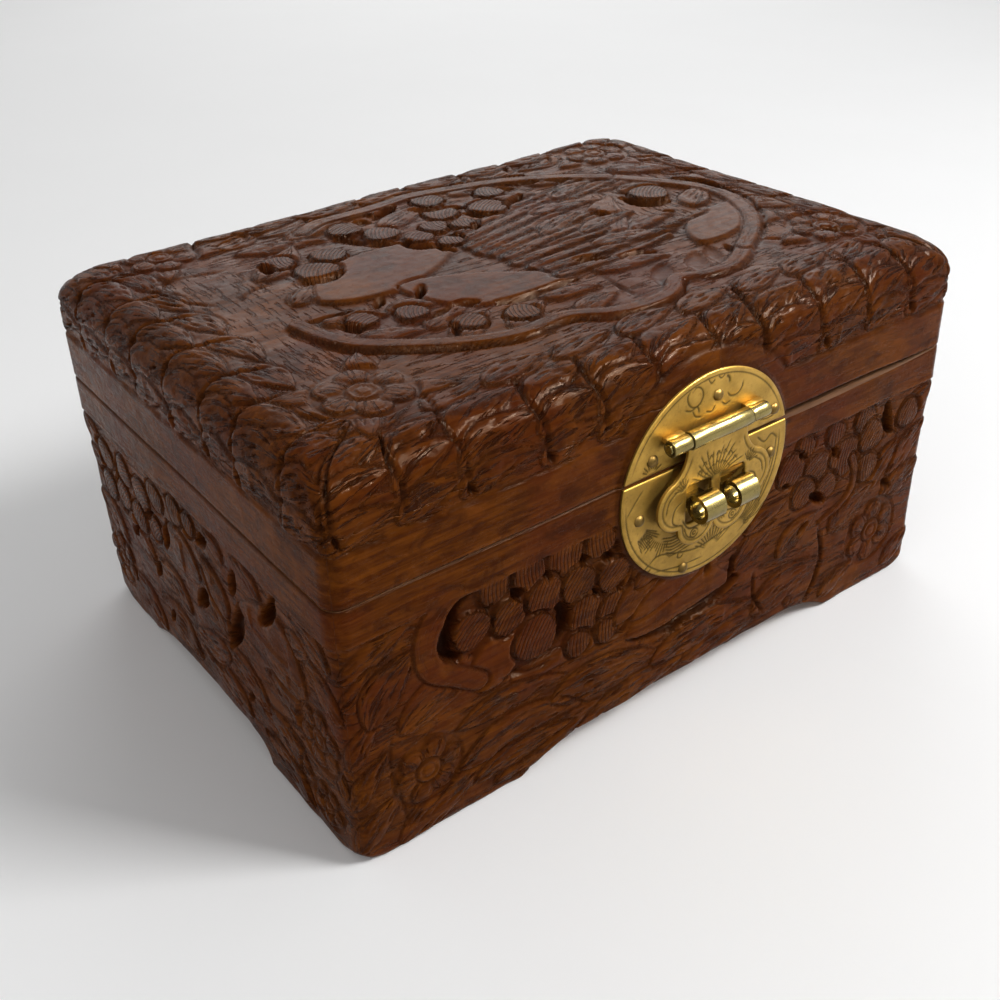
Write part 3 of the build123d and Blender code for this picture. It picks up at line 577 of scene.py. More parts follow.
def carve_side_base(face, mirrored):
    """A side of the base. The left side's own coordinate runs from the back to the front."""
    length = LENGTH["left"]

    def at(y):
        return y if mirrored else length - y

    flip = 1 if mirrored else -1

    def side_leaf(tail, tip, width, bow, *more):
        leaf(face, (at(tail[0]), tail[1]), (at(tip[0]), tip[1]), width, bow * flip, *more)

    for tail, tip, width, bow, seed in (
        ((4, 58), (22, 64), 9, 1, 40), ((2, 44), (20, 56), 9, 1, 41), ((4, 20), (10, 32), 7, 0, 42),
        ((14, 58), (30, 50), 8, 1, 43), ((18, 30), (40, 36), 11, 1.5, 44),
        ((20, 14), (48, 22), 11, 1.5, 45), ((22, 4), (46, 12), 10, 1.5, 46),
        ((40, 22), (64, 30), 10, 1.5, 47), ((52, 12), (80, 18), 10, 1.5, 48),
        ((60, 28), (84, 22), 10, -1.5, 49), ((82, 12), (108, 20), 11, 1.5, 50),
        ((84, 26), (104, 34), 10, 1.5, 51), ((108, 6), (132, 16), 11, 1.5, 52),
        ((106, 30), (128, 40), 11, 1.5, 53), ((128, 26), (146, 38), 11, 1.5, 54),
        ((130, 42), (146, 54), 10, 1.0, 55), ((56, 34), (72, 50), 9, -1.5, 56),
        ((36, 58), (50, 64), 7, 0.5, 57), ((56, 58), (66, 64), 6, 0.5, 58),
        ((74, 56), (90, 62), 8, 0.5, 59), ((134, 56), (146, 64), 8, 0.5, 60),
    ):
        side_leaf(tail, tip, width, bow, 0.35, 0.45, 0.6, 0.8, seed)
    side_leaf((18, 42), (50, 50), 20, 3.5, 0.15, 0.6, 0.9, 0.25, 61)
    side_leaf((72, 46), (102, 40), 15, 3.5, 0.2, 0.6, 0.8, 0.3, 62)
    side_leaf((58, 40), (70, 54), 10, 1.0, 0.3, 0.5, 0.9, 0.5, 63)
    for y, z, radius, turn in (
        (97, 57.5, 5.0, 1.4), (108, 53, 5.8, 0.6), (119, 55.5, 5.2, 0.4), (112.5, 43.5, 5.2, 1.2),
        (123, 46, 5.4, 0.9), (132, 55, 5.2, 0.2), (102, 45.5, 4.6, 0.8), (134, 44, 5.0, 0.7),
        (84, 59.5, 4.6, 1.5), (75.5, 60, 3.6, 1.3),
    ):
        disc(face, at(y), z, radius, 0.35, turn, 1.2, 0.45)
    for points, width, depth in (
        ([(29, 64), (31.5, 58.5), (37.5, 52)], 4.0, 3.6), ([(51, 58.5), (53.5, 51)], 3.6, 3.4),
        ([(50, 49), (53.5, 40), (58.5, 32)], 5.0, 3.2), ([(66, 60), (71, 57)], 4.2, 3.8),
        ([(69.5, 42), (77, 34)], 5.0, 3.2), ([(91, 53), (95, 43)], 3.4, 3.2),
        ([(102.5, 50), (107, 46.5)], 2.6, 3.0), ([(104, 32), (108, 26)], 3.0, 3.0),
        ([(99, 18), (103, 13)], 3.0, 2.8), ([(123, 58), (126.5, 49)], 3.0, 3.4),
        ([(116, 38), (120, 34)], 2.6, 2.8), ([(133, 26), (139, 22)], 3.4, 3.0),
        ([(49.5, 22), (53, 17)], 2.4, 2.0),
    ):
        pocket(face, [(at(x), y) for x, y in points], width, depth)
    flower(face, at(14), 32, 9.0, 6, 0.3)
    flower(face, at(136), 17, 9.0, 6, 0.6)
    flower(face, at(14), 11, 6.5, 5, 0.9)
    groove(face, [(at(24), 22), (at(26), 12), (at(21), 4)], 1.8, 1.0)


def carve_back_base(face):
    """The back of the base has a large flower in its middle and discs on both sides."""
    for side in (-1, 1):
        def at(x):
            return WIDTH / 2 + side * x

        def back_leaf(tail, tip, width, bow, *more):
            leaf(face, (at(tail[0]), tail[1]), (at(tip[0]), tip[1]), width, bow * side, *more)

        for tail, tip, width, bow, seed in (
            ((14, 56), (24, 64), 8, 1, 80), ((2, 10), (30, 14), 10, 1.5, 81),
            ((26, 9), (56, 13), 9, 1.5, 82), ((50, 4), (80, 10), 9, 1, 83),
            ((76, 6), (101, 14), 11, 1, 84), ((8, 20), (34, 22), 9, 2, 85),
            ((84, 52), (101, 64), 10, 1, 86), ((92, 24), (102, 40), 9, 1, 87),
            ((60, 24), (76, 32), 9, 1, 88), ((16, 28), (30, 34), 8, 1, 89),
        ):
            back_leaf(tail, tip, width, bow, 0.35, 0.45, 0.6, 0.8, seed)
        sink(face, [(at(24), 62), (at(25), 42), (at(44), 34), (at(64), 36), (at(75), 48),
                    (at(70), 62)][::side], 1.5)
        for x, z, radius, turn in (
            (33, 61.5, 4.8, 1.5), (44, 62, 5.2, 1.5), (55.5, 61.5, 5.2, 1.5), (66, 60.5, 4.8, 1.4),
            (70, 51, 5.4, 0.8), (60, 52, 5.4, 1.0), (49, 52, 5.4, 1.3), (37.5, 52, 5.6, 0.9),
            (63, 42, 5.6, 0.7), (52, 41.5, 5.4, 1.5), (40, 41.5, 5.6, 1.1), (28, 50, 4.8, 0.5),
            (31, 41, 4.4, 0.4),
        ):
            disc(face, at(x), z, radius, 0.35, turn * side, 1.3, 0.45)
        pocket(face, [(at(74), 64), (at(77), 57), (at(76), 49)], 4.6, 3.6)
        pocket(face, [(at(46), 47), (at(44.5), 43), (at(46), 38)], 4.0, 3.4)
        pocket(face, [(at(54), 57), (at(55), 55)], 2.6, 3.0)
        band(face, [(at(73), 66), (at(80), 61), (at(82), 53), (at(78), 46), (at(69), 39)],
             7.6, 5.0, 0.1, 0.05, 0.9, 0.2, 0.0, 1.0)
        back_leaf((84, 38), (98, 55), 12, 2.2, 0.2, 0.5, 0.9, 0.9, 51)
        back_leaf((68, 33), (90, 38), 10, 2.5, 0.25, 0.5, 0.7, 0.8, 52)
        back_leaf((32, 17), (70, 21), 11, 3.0, 0.2, 0.5, 0.7, 1.0, 53)
        flower(face, at(82), 20, 9.5, 6, 0.4)
    flower(face, WIDTH / 2, 44, 14.5, 7, 0.2)


def notch_places(length, number):
    """Where the notches stand that part the edge of the lid into scallops."""
    count = round(length / NOTCH_PITCH)
    even = np.arange(count + 1)
    stray = np.where((even > 0) & (even < count), NOTCH_WANDER * np.sin(2.4 * even + number), 0)
    return even / count * length + stray


def carve_lid(relief, g, s):
    """The rounded edge and the sides of the lid. S is the way down from the flat top."""
    views = faces_of(relief, g, s)
    k = relief.kept
    side_start = EDGE * math.pi / 2
    z = TOP - EDGE - (s - side_start)
    front = views["front"]

    away = np.hypot(front.x - (LOCK_X - LEFT), z - LOCK_Z)
    over_lock = np.where(s > 0, smooth(PLATE_RADIUS + 6.5, PLATE_RADIUS + 5.0, away), 0)
    plain = np.maximum(smooth(LID_BAND_HIGH + 0.6, LID_BAND_HIGH - 0.5, z) * (s > 0), over_lock)
    k["depth"][:] = 0.45
    k["across"][:] = s
    k["run"][:] = g
    k["stroke"][:] = 0.7

    low = side_start + TOP - EDGE - LID_BAND_HIGH
    for number, side in enumerate(SIDES):
        face = views[side]
        rng = np.random.default_rng(60 + number)
        edges = notch_places(LENGTH[side], number)
        for start, stop in zip(edges, edges[1:]):
            width = stop - start
            for middle, size, climb in ((-5.5, 9.5, 2.5), (4.0, 10.5, 3.5), (12.5, 10.5, 3.0),
                                        (low - 4.0, 8.5, 2.0)):
                y = middle + rng.uniform(-0.8, 0.8)
                leaf(face, (start - 1.5, y + climb), (stop - 0.5, y - climb), size,
                     rng.uniform(-2.2, -0.8), 0.2 + rng.uniform(-0.1, 0.25), 0.45, 0.45, 1.0,
                     int(rng.integers(99)), 0.0, 0.7, 1.0)
                if rng.random() < 0.5:
                    x = start + width * rng.uniform(0.3, 0.8)
                    groove(face, [(x - 4, y + 2.5), (x, y + 0.5), (x + 4, y - 2.5)], 1.3, 0.7)
        for x in edges:
            lean = rng.uniform(2.5, 4.5)
            groove(face, [(x + 0.5, low - rng.uniform(0.5, 3)), (x + rng.uniform(-1, 1), low * 0.6),
                          (x - 1.5, low * 0.2), (x + 1.0, -3), (x + lean, -10)],
                   rng.uniform(1.3, 2.0), rng.uniform(0.8, 1.5))
            if rng.random() < 0.7:
                pocket(face, [(x + 1.2, low - 4.5), (x + 2.2, low - 1.5)], 2.0, 1.8)

    for name in ("depth", "mark"):
        k[name] *= 1 - plain
    k["stroke"] = k["stroke"] * (1 - plain) + 0.12 * plain
    line = smooth(1.0, 0.2, np.abs(z - LID_BAND_HIGH)) * (s > 0) * (1 - over_lock)
    rim = smooth(1.4, 0.2, np.abs(away - PLATE_RADIUS - 5.8)) * (z > LID_BAND_HIGH) * (s > 0)
    line = np.maximum(line * smooth(-0.2, 0.5, noise(relief.place, 5.0, 15)), rim)
    # the lines are cut in and darkened with dirt and painted shade
    k["depth"] += 0.45 * line
    k["mark"] = np.maximum(k["mark"], 0.6 * line)
    finish_wood(k, relief.place, 1 - plain)


def carve_top(face):
    """The flat of the lid: x from the left edge and y from the front edge."""
    # shallow leaves over the right half; the left of the lid is nearly smooth
    for tail, tip, width, bow, seed in (
        ((44, 122), (70, 116), 9, 1, 110), ((40, 100), (60, 118), 11, -2, 111),
        ((60, 122), (88, 130), 9, 1, 112), ((86, 112), (110, 122), 10, 1, 113),
        ((116, 112), (140, 108), 10, 1, 114), ((118, 124), (142, 126), 10, 1, 115),
        ((142, 118), (168, 110), 10, 1, 116), ((150, 100), (172, 98), 9, 1, 117),
        ((172, 112), (190, 98), 11, 1, 118), ((182, 92), (194, 70), 11, 1, 119),
        ((160, 92), (178, 90), 9, 1, 120), ((168, 68), (184, 80), 10, 1, 121),
        ((180, 64), (192, 46), 10, 1, 122), ((168, 50), (190, 44), 10, 1, 123),
        ((112, 48), (136, 44), 8, 1, 124), ((40, 52), (58, 46), 8, 1, 125),
        ((58, 46), (74, 52), 8, 1, 126), ((60, 36), (76, 46), 9, 1, 127),
        ((74, 32), (90, 42), 9, 1, 128), ((90, 44), (108, 40), 9, 1, 129),
        ((92, 30), (108, 34), 8, 1, 130), ((40, 66), (56, 60), 9, 1, 131),
        ((56, 62), (72, 58), 8, 1, 132), ((40, 80), (52, 88), 8, 1, 133),
        ((112, 72), (140, 74), 9, 1, 134), ((138, 66), (160, 68), 8, 1, 135),
    ):
        leaf(face, tail, tip, width, bow, 0.4, 0.4, 0.6, 0.7, seed, 0.0, 0.7, 1.3)
    for x in (62, 82, 102, 122, 142, 160):
        leaf(face, (x - 11, 14), (x + 9, 18), 8.5, 1.0, 0.25, 0.3, 0.4, 0.9, x, 0.0, 0.7, 1.0)
        leaf(face, (x - 11, 139), (x + 9, 136), 8.5, -1.0, 0.3, 0.3, 0.4, 0.7, x + 1, 0.0, 0.7, 1.0)
    for y in (48, 66, 84, 102):
        leaf(face, (195, y - 9), (191, y + 9), 8.5, -1.0, 0.3, 0.3, 0.4, 0.6, y, 0.0, 0.7, 1.0)

    # smooth mounds with a rolling edge
    leaf(face, (46, 77), (100, 92), 27, 2.0, 0.1, 0.5, 1.0, 0.0, 72, 0.0, 0.8, 2.0)
    leaf(face, (66, 72), (108, 50), 22, -5.0, 0.0, 0.4, 1.4, 0.0, 73, 0.0, 0.8, 2.0)
    leaf(face, (148, 45), (188, 62), 16, 2.0, 0.1, 0.4, 0.7, 0.0, 78, 0.0, 0.8, 1.6)
    leaf(face, (134, 64), (156, 92), 13, 2.5, 0.25, 0.6, 0.9, 0.5, 77, 0.0, 0.7, 1.5)

    # boughs that fan out to the right, each a bundle of long streaks
    for points in (
        [(96, 92), (120, 100), (142, 106), (160, 111)], [(97, 88), (124, 97), (150, 104), (168, 109)],
        [(98, 84), (126, 92), (150, 98), (166, 101)], [(98, 79), (122, 86), (146, 93)],
        [(100, 75), (120, 80), (141, 83)], [(101, 71), (118, 75), (138, 77)],
    ):
        band(face, points, 5.4, 2.2, 0.25, 0.4, 0.5, 1.0, 0.5, 1.6, 74)
    for points in (
        [(100, 66), (116, 68), (134, 69)], [(102, 61), (120, 63), (140, 64)],
        [(104, 57), (124, 58), (146, 60), (166, 62)], [(104, 52), (126, 52), (146, 55)],
    ):
        band(face, points, 4.8, 2.0, 0.25, 0.4, 0.5, 1.0, 0.5, 1.6, 75)
    for tail, tip, width, seed in (((126, 94), (152, 90), 8, 141), ((118, 78), (139, 86), 8, 142),
                                   ((124, 63), (150, 57), 8, 143), ((128, 72), (152, 76), 7, 144),
                                   ((140, 100), (160, 106), 8, 145)):
        leaf(face, tail, tip, width, 1.5, 0.25, 0.4, 0.5, 1.0, seed, 0.0, 0.7, 1.4)

    for x, y, radius, turn in (
        (64, 104, 5.4, 0.8), (50, 107.5, 5.0, 1.4), (77.5, 118.5, 5.4, 0.4), (84, 108.5, 5.6, 1.0),
        (91, 99.5, 4.6, 0.6), (96, 91.0, 4.0, 1.2), (106.5, 111.5, 5.6, 0.9), (99, 103.5, 4.6, 1.5),
        (93.8, 128, 4.8, 0.3), (110, 123.5, 5.4, 0.8), (129, 118, 5.0, 1.1), (144, 123, 4.8, 0.5),
        (120.8, 107.3, 6.2, 0.6), (55.5, 95.8, 6.4, 0.9), (166.0, 85.0, 6.4, 0.7),
        (107, 100, 4.2, 1.3), (48, 60.5, 4.4, 0.4), (60, 56.5, 4.6, 1.0), (68, 43.0, 4.6, 0.6),
        (81, 39.0, 4.8, 1.2),
    ):
        disc(face, x, y, radius, 0.1, turn, 1.5, 0.4)
    for points, width, depth in (
        ([(45, 102.5), (46, 106), (45.5, 109)], 3.4, 3.4),
        ([(50, 91.5), (54, 88.8), (60, 90.5)], 3.8, 3.4),
        ([(73, 114.5), (75, 111), (77, 106)], 3.4, 3.2),
        ([(78, 104.5), (82, 101), (86.5, 98)], 3.4, 3.6),
        ([(84.5, 97), (86.5, 93), (91, 89.5)], 4.4, 3.6), ([(90, 88), (92.5, 84.5)], 3.0, 3.0),
        ([(84.5, 124), (87, 120.5)], 3.6, 3.4), ([(90, 122), (95, 124), (99.5, 127)], 4.0, 3.4),
        ([(101.5, 120), (106, 116.5), (110, 115.2)], 3.8, 3.6),
        ([(111.5, 116.5), (115.5, 112.5)], 3.6, 3.4),
        ([(113, 108), (116, 102), (121, 100)], 2.8, 3.0),
        ([(126, 105.5), (131, 107), (135, 109.5)], 3.2, 3.0),
        ([(133.5, 119.8), (138, 117.5)], 3.2, 3.2), ([(142.5, 119.5), (146.5, 116)], 3.6, 3.4),
        ([(150, 114.5), (156, 111)], 2.8, 3.0),
        ([(157.5, 88), (158.5, 81), (162.5, 77.5), (167, 77)], 4.2, 3.6),
        ([(159.5, 71.5), (162, 69)], 2.4, 2.6), ([(141, 82.5), (143.5, 78.5)], 3.0, 3.0),
        ([(107, 95.5), (110, 97)], 2.8, 2.8), ([(98, 96), (101, 92)], 2.6, 2.6),
        ([(37, 69.5), (41.5, 68.5), (50, 67.5)], 2.8, 2.6), ([(42.5, 62), (45.5, 55.5)], 2.8, 2.8),
        ([(55.5, 66), (59.5, 69.8)], 2.8, 2.8), ([(66.5, 63), (71, 68.5)], 2.4, 2.8),
        ([(61, 50.5), (66, 52.5), (70, 53.8)], 2.6, 2.8), ([(71, 54), (76, 51)], 2.8, 2.8),
        ([(79.5, 47.5), (90, 45.8), (106, 47.5)], 2.8, 2.8), ([(113.5, 57), (121, 53)], 3.4, 3.2),
        ([(124, 50.5), (130, 50), (135, 48.5)], 2.4, 2.6), ([(61, 38.5), (64, 43.5)], 2.0, 2.2),
        ([(110.5, 30), (112, 44)], 1.8, 1.8),
    ):
        pocket(face, points, width, depth)

    # round hollows right of the middle
    for tail, tip, width in (((120, 29), (131, 41), 6), ((134, 29), (143, 42), 6),
                             ((143, 31), (149, 43), 4.5)):
        leaf(face, tail, tip, width, 0.6, 1.2, -0.5, 0.3, 0.0, 79, 0.0, 1.0, 1.6)
    pocket(face, [(150.5, 34.5), (153, 40)], 2.6, 2.2)

    # the lobed border, its groove, and the deep crescent on the right
    lower = [(31, 68), (33, 58), (37, 49), (45, 41.5), (55, 34.5), (64, 30), (74, 27.5), (86, 28.5),
             (91.5, 26.5), (97, 23), (105, 21), (114, 21), (121, 23.5), (126.5, 28), (133, 25.5),
             (143, 25), (151, 28), (158, 33)]
    right = [(158, 33), (167, 39), (178, 49), (185, 62), (187, 72), (186, 80), (180, 92), (170, 107)]
    upper = [(170, 107), (158, 117), (142, 126), (124, 131), (108, 134), (98, 132.5), (88, 131.8),
             (74, 131.5), (65, 127)]
    middle = np.array([102.0, 77.0])

    def inward(points, share):
        return [tuple(np.array(p) * (1 - share) + middle * share) for p in points]

    for points, share in ((lower, 0.05), (right, 0.05), (upper, 0.05)):
        band(face, inward(points, share), 5.0, 5.0, 0.05, 0.1, 0.6, 0.25, 0.0, 1.1, 81)
        groove(face, points, 2.0, 1.1)
    groove(face, [(65, 127), (56, 121), (48, 113)], 1.4, 0.5)
    groove(face, [(30, 91), (36, 95.5), (43, 97)], 1.5, 0.6)
    groove(face, [(16, 112), (19, 102), (24.5, 92.5)], 1.5, 0.6)
    groove(face, [(40, 132), (48, 133.5), (57, 136)], 1.6, 0.7)
    groove(face, [(12, 114), (26, 116), (38, 113)], 1.4, 0.5)
    groove(face, [(14, 60), (20, 52), (22, 44)], 1.4, 0.4)
    groove(face, [(163.5, 37), (168, 33), (173, 29.5)], 1.6, 0.9)
    pocket(face, [(181, 90), (185.5, 82), (186, 72)], 3.4, 2.8)

    # corner flowers and the leaves round them
    for x, y, radius, turn in ((28.5, 28.0, 11.5, 0.3), (184, 31, 10.5, 0.8),
                               (27.0, 133, 10, 0.5), (180, 127, 10.5, 1.0)):
        for i in range(4):
            angle = turn + 0.6 + i * math.pi / 2
            tail = (x + radius * 0.8 * math.cos(angle), y + radius * 0.8 * math.sin(angle))
            tip = (x + radius * 1.8 * math.cos(angle + 0.2), y + radius * 1.8 * math.sin(angle + 0.2))
            leaf(face, tail, tip, 7.5, 1.0, 0.3, 0.3, 0.4, 0.6, i + 82, 0.0, 0.7, 1.3)
        flower(face, x, y, radius, 6, turn)
    pocket(face, [(182, 30), (184, 26.5), (189, 24)], 3.0, 2.6)


# ---- making meshes ----


def make_mesh(name, points, faces, materials, face_material=None, flat=None, attributes=None):
    """A mesh object from points in millimetres and faces of any number of corners."""
    mesh = bpy.data.meshes.new(name)
    counts = np.concatenate([np.full(len(f), f.shape[1]) for f in faces])
    corners = np.concatenate([f.ravel() for f in faces])
    mesh.vertices.add(len(points))
    mesh.vertices.foreach_set("co", (np.asarray(points) * MM).astype(np.float32).ravel())
    mesh.loops.add(len(corners))
    mesh.loops.foreach_set("vertex_index", corners.astype(np.int32))
    mesh.polygons.add(len(counts))
    starts = np.concatenate([[0], np.cumsum(counts)[:-1]])
    mesh.polygons.foreach_set("loop_start", starts.astype(np.int32))
    mesh.polygons.foreach_set("loop_total", counts.astype(np.int32))
    for material in materials:
        mesh.materials.append(material)
    if face_material is not None:
        mesh.polygons.foreach_set("material_index", face_material.astype(np.int32))
    smooth_faces = np.ones(len(counts), bool) if flat is None else ~flat
    mesh.polygons.foreach_set("use_smooth", smooth_faces)
    mesh.update(calc_edges=True)
    mesh.validate()
    for key, values in (attributes or {}).items():
        if values.ndim == 1:
            mesh.attributes.new(key, "FLOAT", "POINT").data.foreach_set(
                "value", values.astype(np.float32)
            )
        else:
            mesh.attributes.new(key, "FLOAT_VECTOR", "POINT").data.foreach_set(
                "vector", values.astype(np.float32).ravel()
            )
    return show(name, mesh)


def spread(values, edges, rounds):
    """Each point's value after it is evened out with its neighbours a few times."""
    n = len(values)
    count = np.bincount(edges.ravel(), minlength=n) + 1
    for _ in range(rounds):
        total = np.bincount(edges[:, 0], values[edges[:, 1]], n)
        total += np.bincount(edges[:, 1], values[edges[:, 0]], n)
        values = (values + total) / count
    return values


def wear(kept, edges, keep):
    """Attributes for the wood's material: hollows get dirt and painted shade, and ridges get rubbed
    varnish and a painted highlight.
    """
    depth = np.zeros(keep)
    depth[: len(kept["depth"])] = kept["depth"]
    wide = spread(depth, edges, 10)
    fine = spread(depth, edges, 3)
    # painted shade with dirt: the deeper a point lies below its surroundings, the darker it is made
    hollow = np.clip((depth - wide) / 0.9, 0, 1) + np.clip((depth - 2.2) / 2.5, 0, 1)
    # ridges, which the material lightens: rubbed varnish and a painted highlight
    ridge = np.clip((fine - depth) / 0.28, 0, 1)

    def padded(values):
        out = np.zeros(keep)
        out[: len(values)] = values
        return out

    cut = np.clip(np.maximum(hollow, 0.9 * padded(kept["mark"])), 0, 1)
    flow = np.stack([padded(kept["across"]), padded(kept["run"]), padded(kept["stroke"])], 1)
    # the cut attribute holds dirt and painted shade; the worn attribute holds rubbed varnish and a
    # painted highlight
    return {
        "cut": spread(cut, edges, 1), "worn": ridge, "flow": flow,
        "hatch": padded(kept["hatch"]),
    }


def grid_edges(rows, columns, offset=0):
    """The edges of a grid of points, column after column."""
    index = np.arange(rows * columns).reshape(columns, rows) + offset
    return np.concatenate([
        np.stack([index[:-1].ravel(), index[1:].ravel()], 1),
        np.stack([index[:, :-1].ravel(), index[:, 1:].ravel()], 1),
    ])


def side_columns(side, spacing):
    """The upright columns a side is cut into, from one mitre to the next."""
    length = LENGTH[side]
    steps = 12
    turn = np.linspace(math.pi / 4, 0, steps, endpoint=False)
    straight = np.linspace(CORNER, length - CORNER, int((length - 2 * CORNER) / spacing) + 1)
    a = CORNER - CORNER * np.sin(turn)
    inset = CORNER - CORNER * np.cos(turn)
    u = CORNER - CORNER * turn
    a = np.concatenate([a, straight, length - a[::-1]])
    u = np.concatenate([u, straight, length - u[::-1]])
    inset = np.concatenate([inset, np.zeros(len(straight)), inset[::-1]])
    turn = np.concatenate([-turn, np.zeros(len(straight)), turn[::-1]])
    way = np.array(ALONG[side], float)
    out = np.array([way[1], -way[0]])
    place = np.array(ORIGIN[side]) + a[:, None] * way - inset[:, None] * out
    normal = np.sin(turn)[:, None] * way + np.cos(turn)[:, None] * out
    inner_a = WALL + (a - a[0]) * (length - 2 * WALL) / (length - 2 * a[0])
    inner = np.array(ORIGIN[side]) + inner_a[:, None] * way - WALL * out
    return a, u, place, normal, inner_a, inner, out


def side_board(name, side, low, high, inner_profile, programme, body):
    """A mitred board with a carved outside and a plain inside, made as one closed skin.
    Low and high give the lower and upper edge at a place along the side."""
    a, u, place, normal, inner_a, inner, out = side_columns(side, GRAIN_CELL)
    z_low, z_high = low(a), high(a)
    rows = int(round((z_high.max() - z_low.min()) / GRAIN_CELL)) + 1
    t = np.linspace(0, 1, rows)
    z = z_low[:, None] + (z_high - z_low)[:, None] * t
    columns = len(a)
    outer = np.dstack([
        np.repeat(place[:, :1], rows, 1), np.repeat(place[:, 1:], rows, 1), z
    ]).reshape(-1, 3)
    g = np.repeat(START[side] + u - UNROLLED, rows)
    relief = Relief(g, z.ravel(), outer)
    programme(relief, g, z.ravel())
    depth = relief.kept["depth"]
    outward = np.repeat(normal, rows, 0)
    outer[:, :2] -= outward * depth[:, None]

    profile = inner_profile(low(inner_a), high(inner_a))
    inside = [
        np.column_stack([inner + out * more, heights]) for more, heights in profile
    ]
    points = np.concatenate([outer, *inside])
    ring = [np.arange(columns) * rows + k for k in range(rows)]
    ring += [len(outer) + i * columns + np.arange(columns) for i in range(len(inside))]
    ring = np.array(ring)
    after = np.roll(ring, -1, 0)
    quads = np.stack([ring[:, :-1], ring[:, 1:], after[:, 1:], after[:, :-1]], 2)
    outer_quads = quads[: rows - 1].reshape(-1, 4)
    other_quads = quads[rows - 1:].reshape(-1, 4)
    caps = np.array([ring[:, 0], ring[::-1, -1]])
    edges = grid_edges(rows, columns)
    plain = len(other_quads) + 2
    face_material = np.concatenate([np.zeros(len(outer_quads)), np.ones(plain)])
    flat = np.concatenate([np.zeros(len(outer_quads), bool), np.ones(plain, bool)])
    piece = make_mesh(
        name, points, [outer_quads, other_quads, caps],
        [carved_wood[ALONG[side][0] != 0], plain_wood], face_material, flat,
        wear(relief.kept, edges, len(points)),
    )
    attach(piece, body)
    return piece


def lid_ring(inset, radius):
    """One loop round the lid: places and outward directions, from the front left corner."""
    places, normals, turned = [], [], []
    for side in SIDES:
        length = LENGTH[side]
        way = np.array(ALONG[side], float)
        out = np.array([way[1], -way[0]])
        share = np.arange(CORNER_CELLS) / CORNER_CELLS
        half_arc = radius * math.pi / 4
        total = CORNER_SPAN - inset - radius + half_arc
        d = share * total
        turn = np.clip(math.pi / 4 - d / radius, 0, None)
        bent = inset + radius - radius * np.sin(turn)
        a = np.where(d < half_arc, bent, inset + radius + d - half_arc)
        drop = inset + radius - radius * np.cos(turn)
        base = share * (CORNER_SPAN - CORNER + CORNER * math.pi / 4) + UNROLLED
        cells = middle_cells(side)
        straight = np.linspace(CORNER_SPAN, length - CORNER_SPAN, cells + 1)
        # The far corner is the near one seen in a mirror, without the corner point itself.
        a_all = np.concatenate([a, straight, length - a[:0:-1]])
        u_all = np.concatenate([base, straight, length - base[:0:-1]])
        drop_all = np.concatenate([drop, np.full(cells + 1, inset), drop[:0:-1]])
        turn_all = np.concatenate([-turn, np.zeros(cells + 1), turn[:0:-1]])
        places.append(np.array(ORIGIN[side]) + a_all[:, None] * way - drop_all[:, None] * out)
        normals.append(np.sin(turn_all)[:, None] * way + np.cos(turn_all)[:, None] * out)
        turned.append(START[side] + u_all - UNROLLED)
    return np.concatenate(places), np.concatenate(normals), np.concatenate(turned)


def middle_cells(side):
    """How many cells a side of the lid has between its corners."""
    return int(round((LENGTH[side] - 2 * CORNER_SPAN) / LID_CELL))


def lid_flat():
    """The flat top as a grid with rounded corners, and its coordinates along the edge."""
    steps = np.arange(CORNER_CELLS) / CORNER_CELLS
    axes = []
    for low, high, side in ((LEFT, RIGHT, "front"), (FRONT, BACK, "left")):
        cells = middle_cells(side)
        near, far = low + CORNER_SPAN, high - CORNER_SPAN
        centre = np.linspace(near, far, cells + 1)
        offset = np.concatenate([1 - steps, np.zeros(cells + 1), (1 - steps)[::-1]])
        sign = np.concatenate([-np.ones(CORNER_CELLS), np.zeros(cells + 1), np.ones(CORNER_CELLS)])
        base = np.concatenate([np.full(CORNER_CELLS, near), centre, np.full(CORNER_CELLS, far)])
        axes.append((base, offset, sign))
    (bx, px, sx), (by, py, sy) = axes
    base_x, base_y = np.meshgrid(bx, by, indexing="ij")
    p, q = np.meshgrid(px, py, indexing="ij")
    sign_x, sign_y = np.meshgrid(sx, sy, indexing="ij")
    most = np.maximum(p, q)
    turn = np.where(most > 0, np.minimum(p, q) / np.maximum(most, 1e-9), 0) * math.pi / 4
    big, small = most * np.cos(turn), most * np.sin(turn)
    x = base_x + sign_x * CORNER_ROUNDING * np.where(p > q, big, small)
    y = base_y + sign_y * CORNER_ROUNDING * np.where(p > q, small, big)

    # the way round the edge, for the carving of the border
    gaps = {
        "front": y - FRONT - EDGE, "right": RIGHT - EDGE - x,
        "back": BACK - EDGE - y, "left": x - LEFT - EDGE,
    }
    own = {"front": x - LEFT, "right": y - FRONT, "back": RIGHT - x, "left": BACK - y}
    nearest = np.argmin([gaps[s] for s in SIDES], 0)
    corner = (p > 0) & (q > 0)
    faces_x = p > q
    index = {"front": 0, "right": 1, "back": 2, "left": 3}
    corner_side = np.where(
        faces_x, np.where(sign_x > 0, index["right"], index["left"]),
        np.where(sign_y > 0, index["back"], index["front"]),
    )
    side = np.where(corner, corner_side, nearest)
    fan = (1 - turn / (math.pi / 4)) * (CORNER_SPAN - CORNER + CORNER * math.pi / 4) + UNROLLED
    g, s = np.zeros_like(x), np.zeros_like(x)
    for name, i in index.items():
        mine = side == i
        near_end = own[name] < LENGTH[name] / 2
        u = np.where(corner, np.where(near_end, fan, LENGTH[name] - fan), own[name])
        g = np.where(mine, START[name] + u - UNROLLED, g)
        s = np.where(mine, -gaps[name], s)
    s = np.where(corner, -CORNER_ROUNDING * (1 - most), s)
    return x, y, g, s


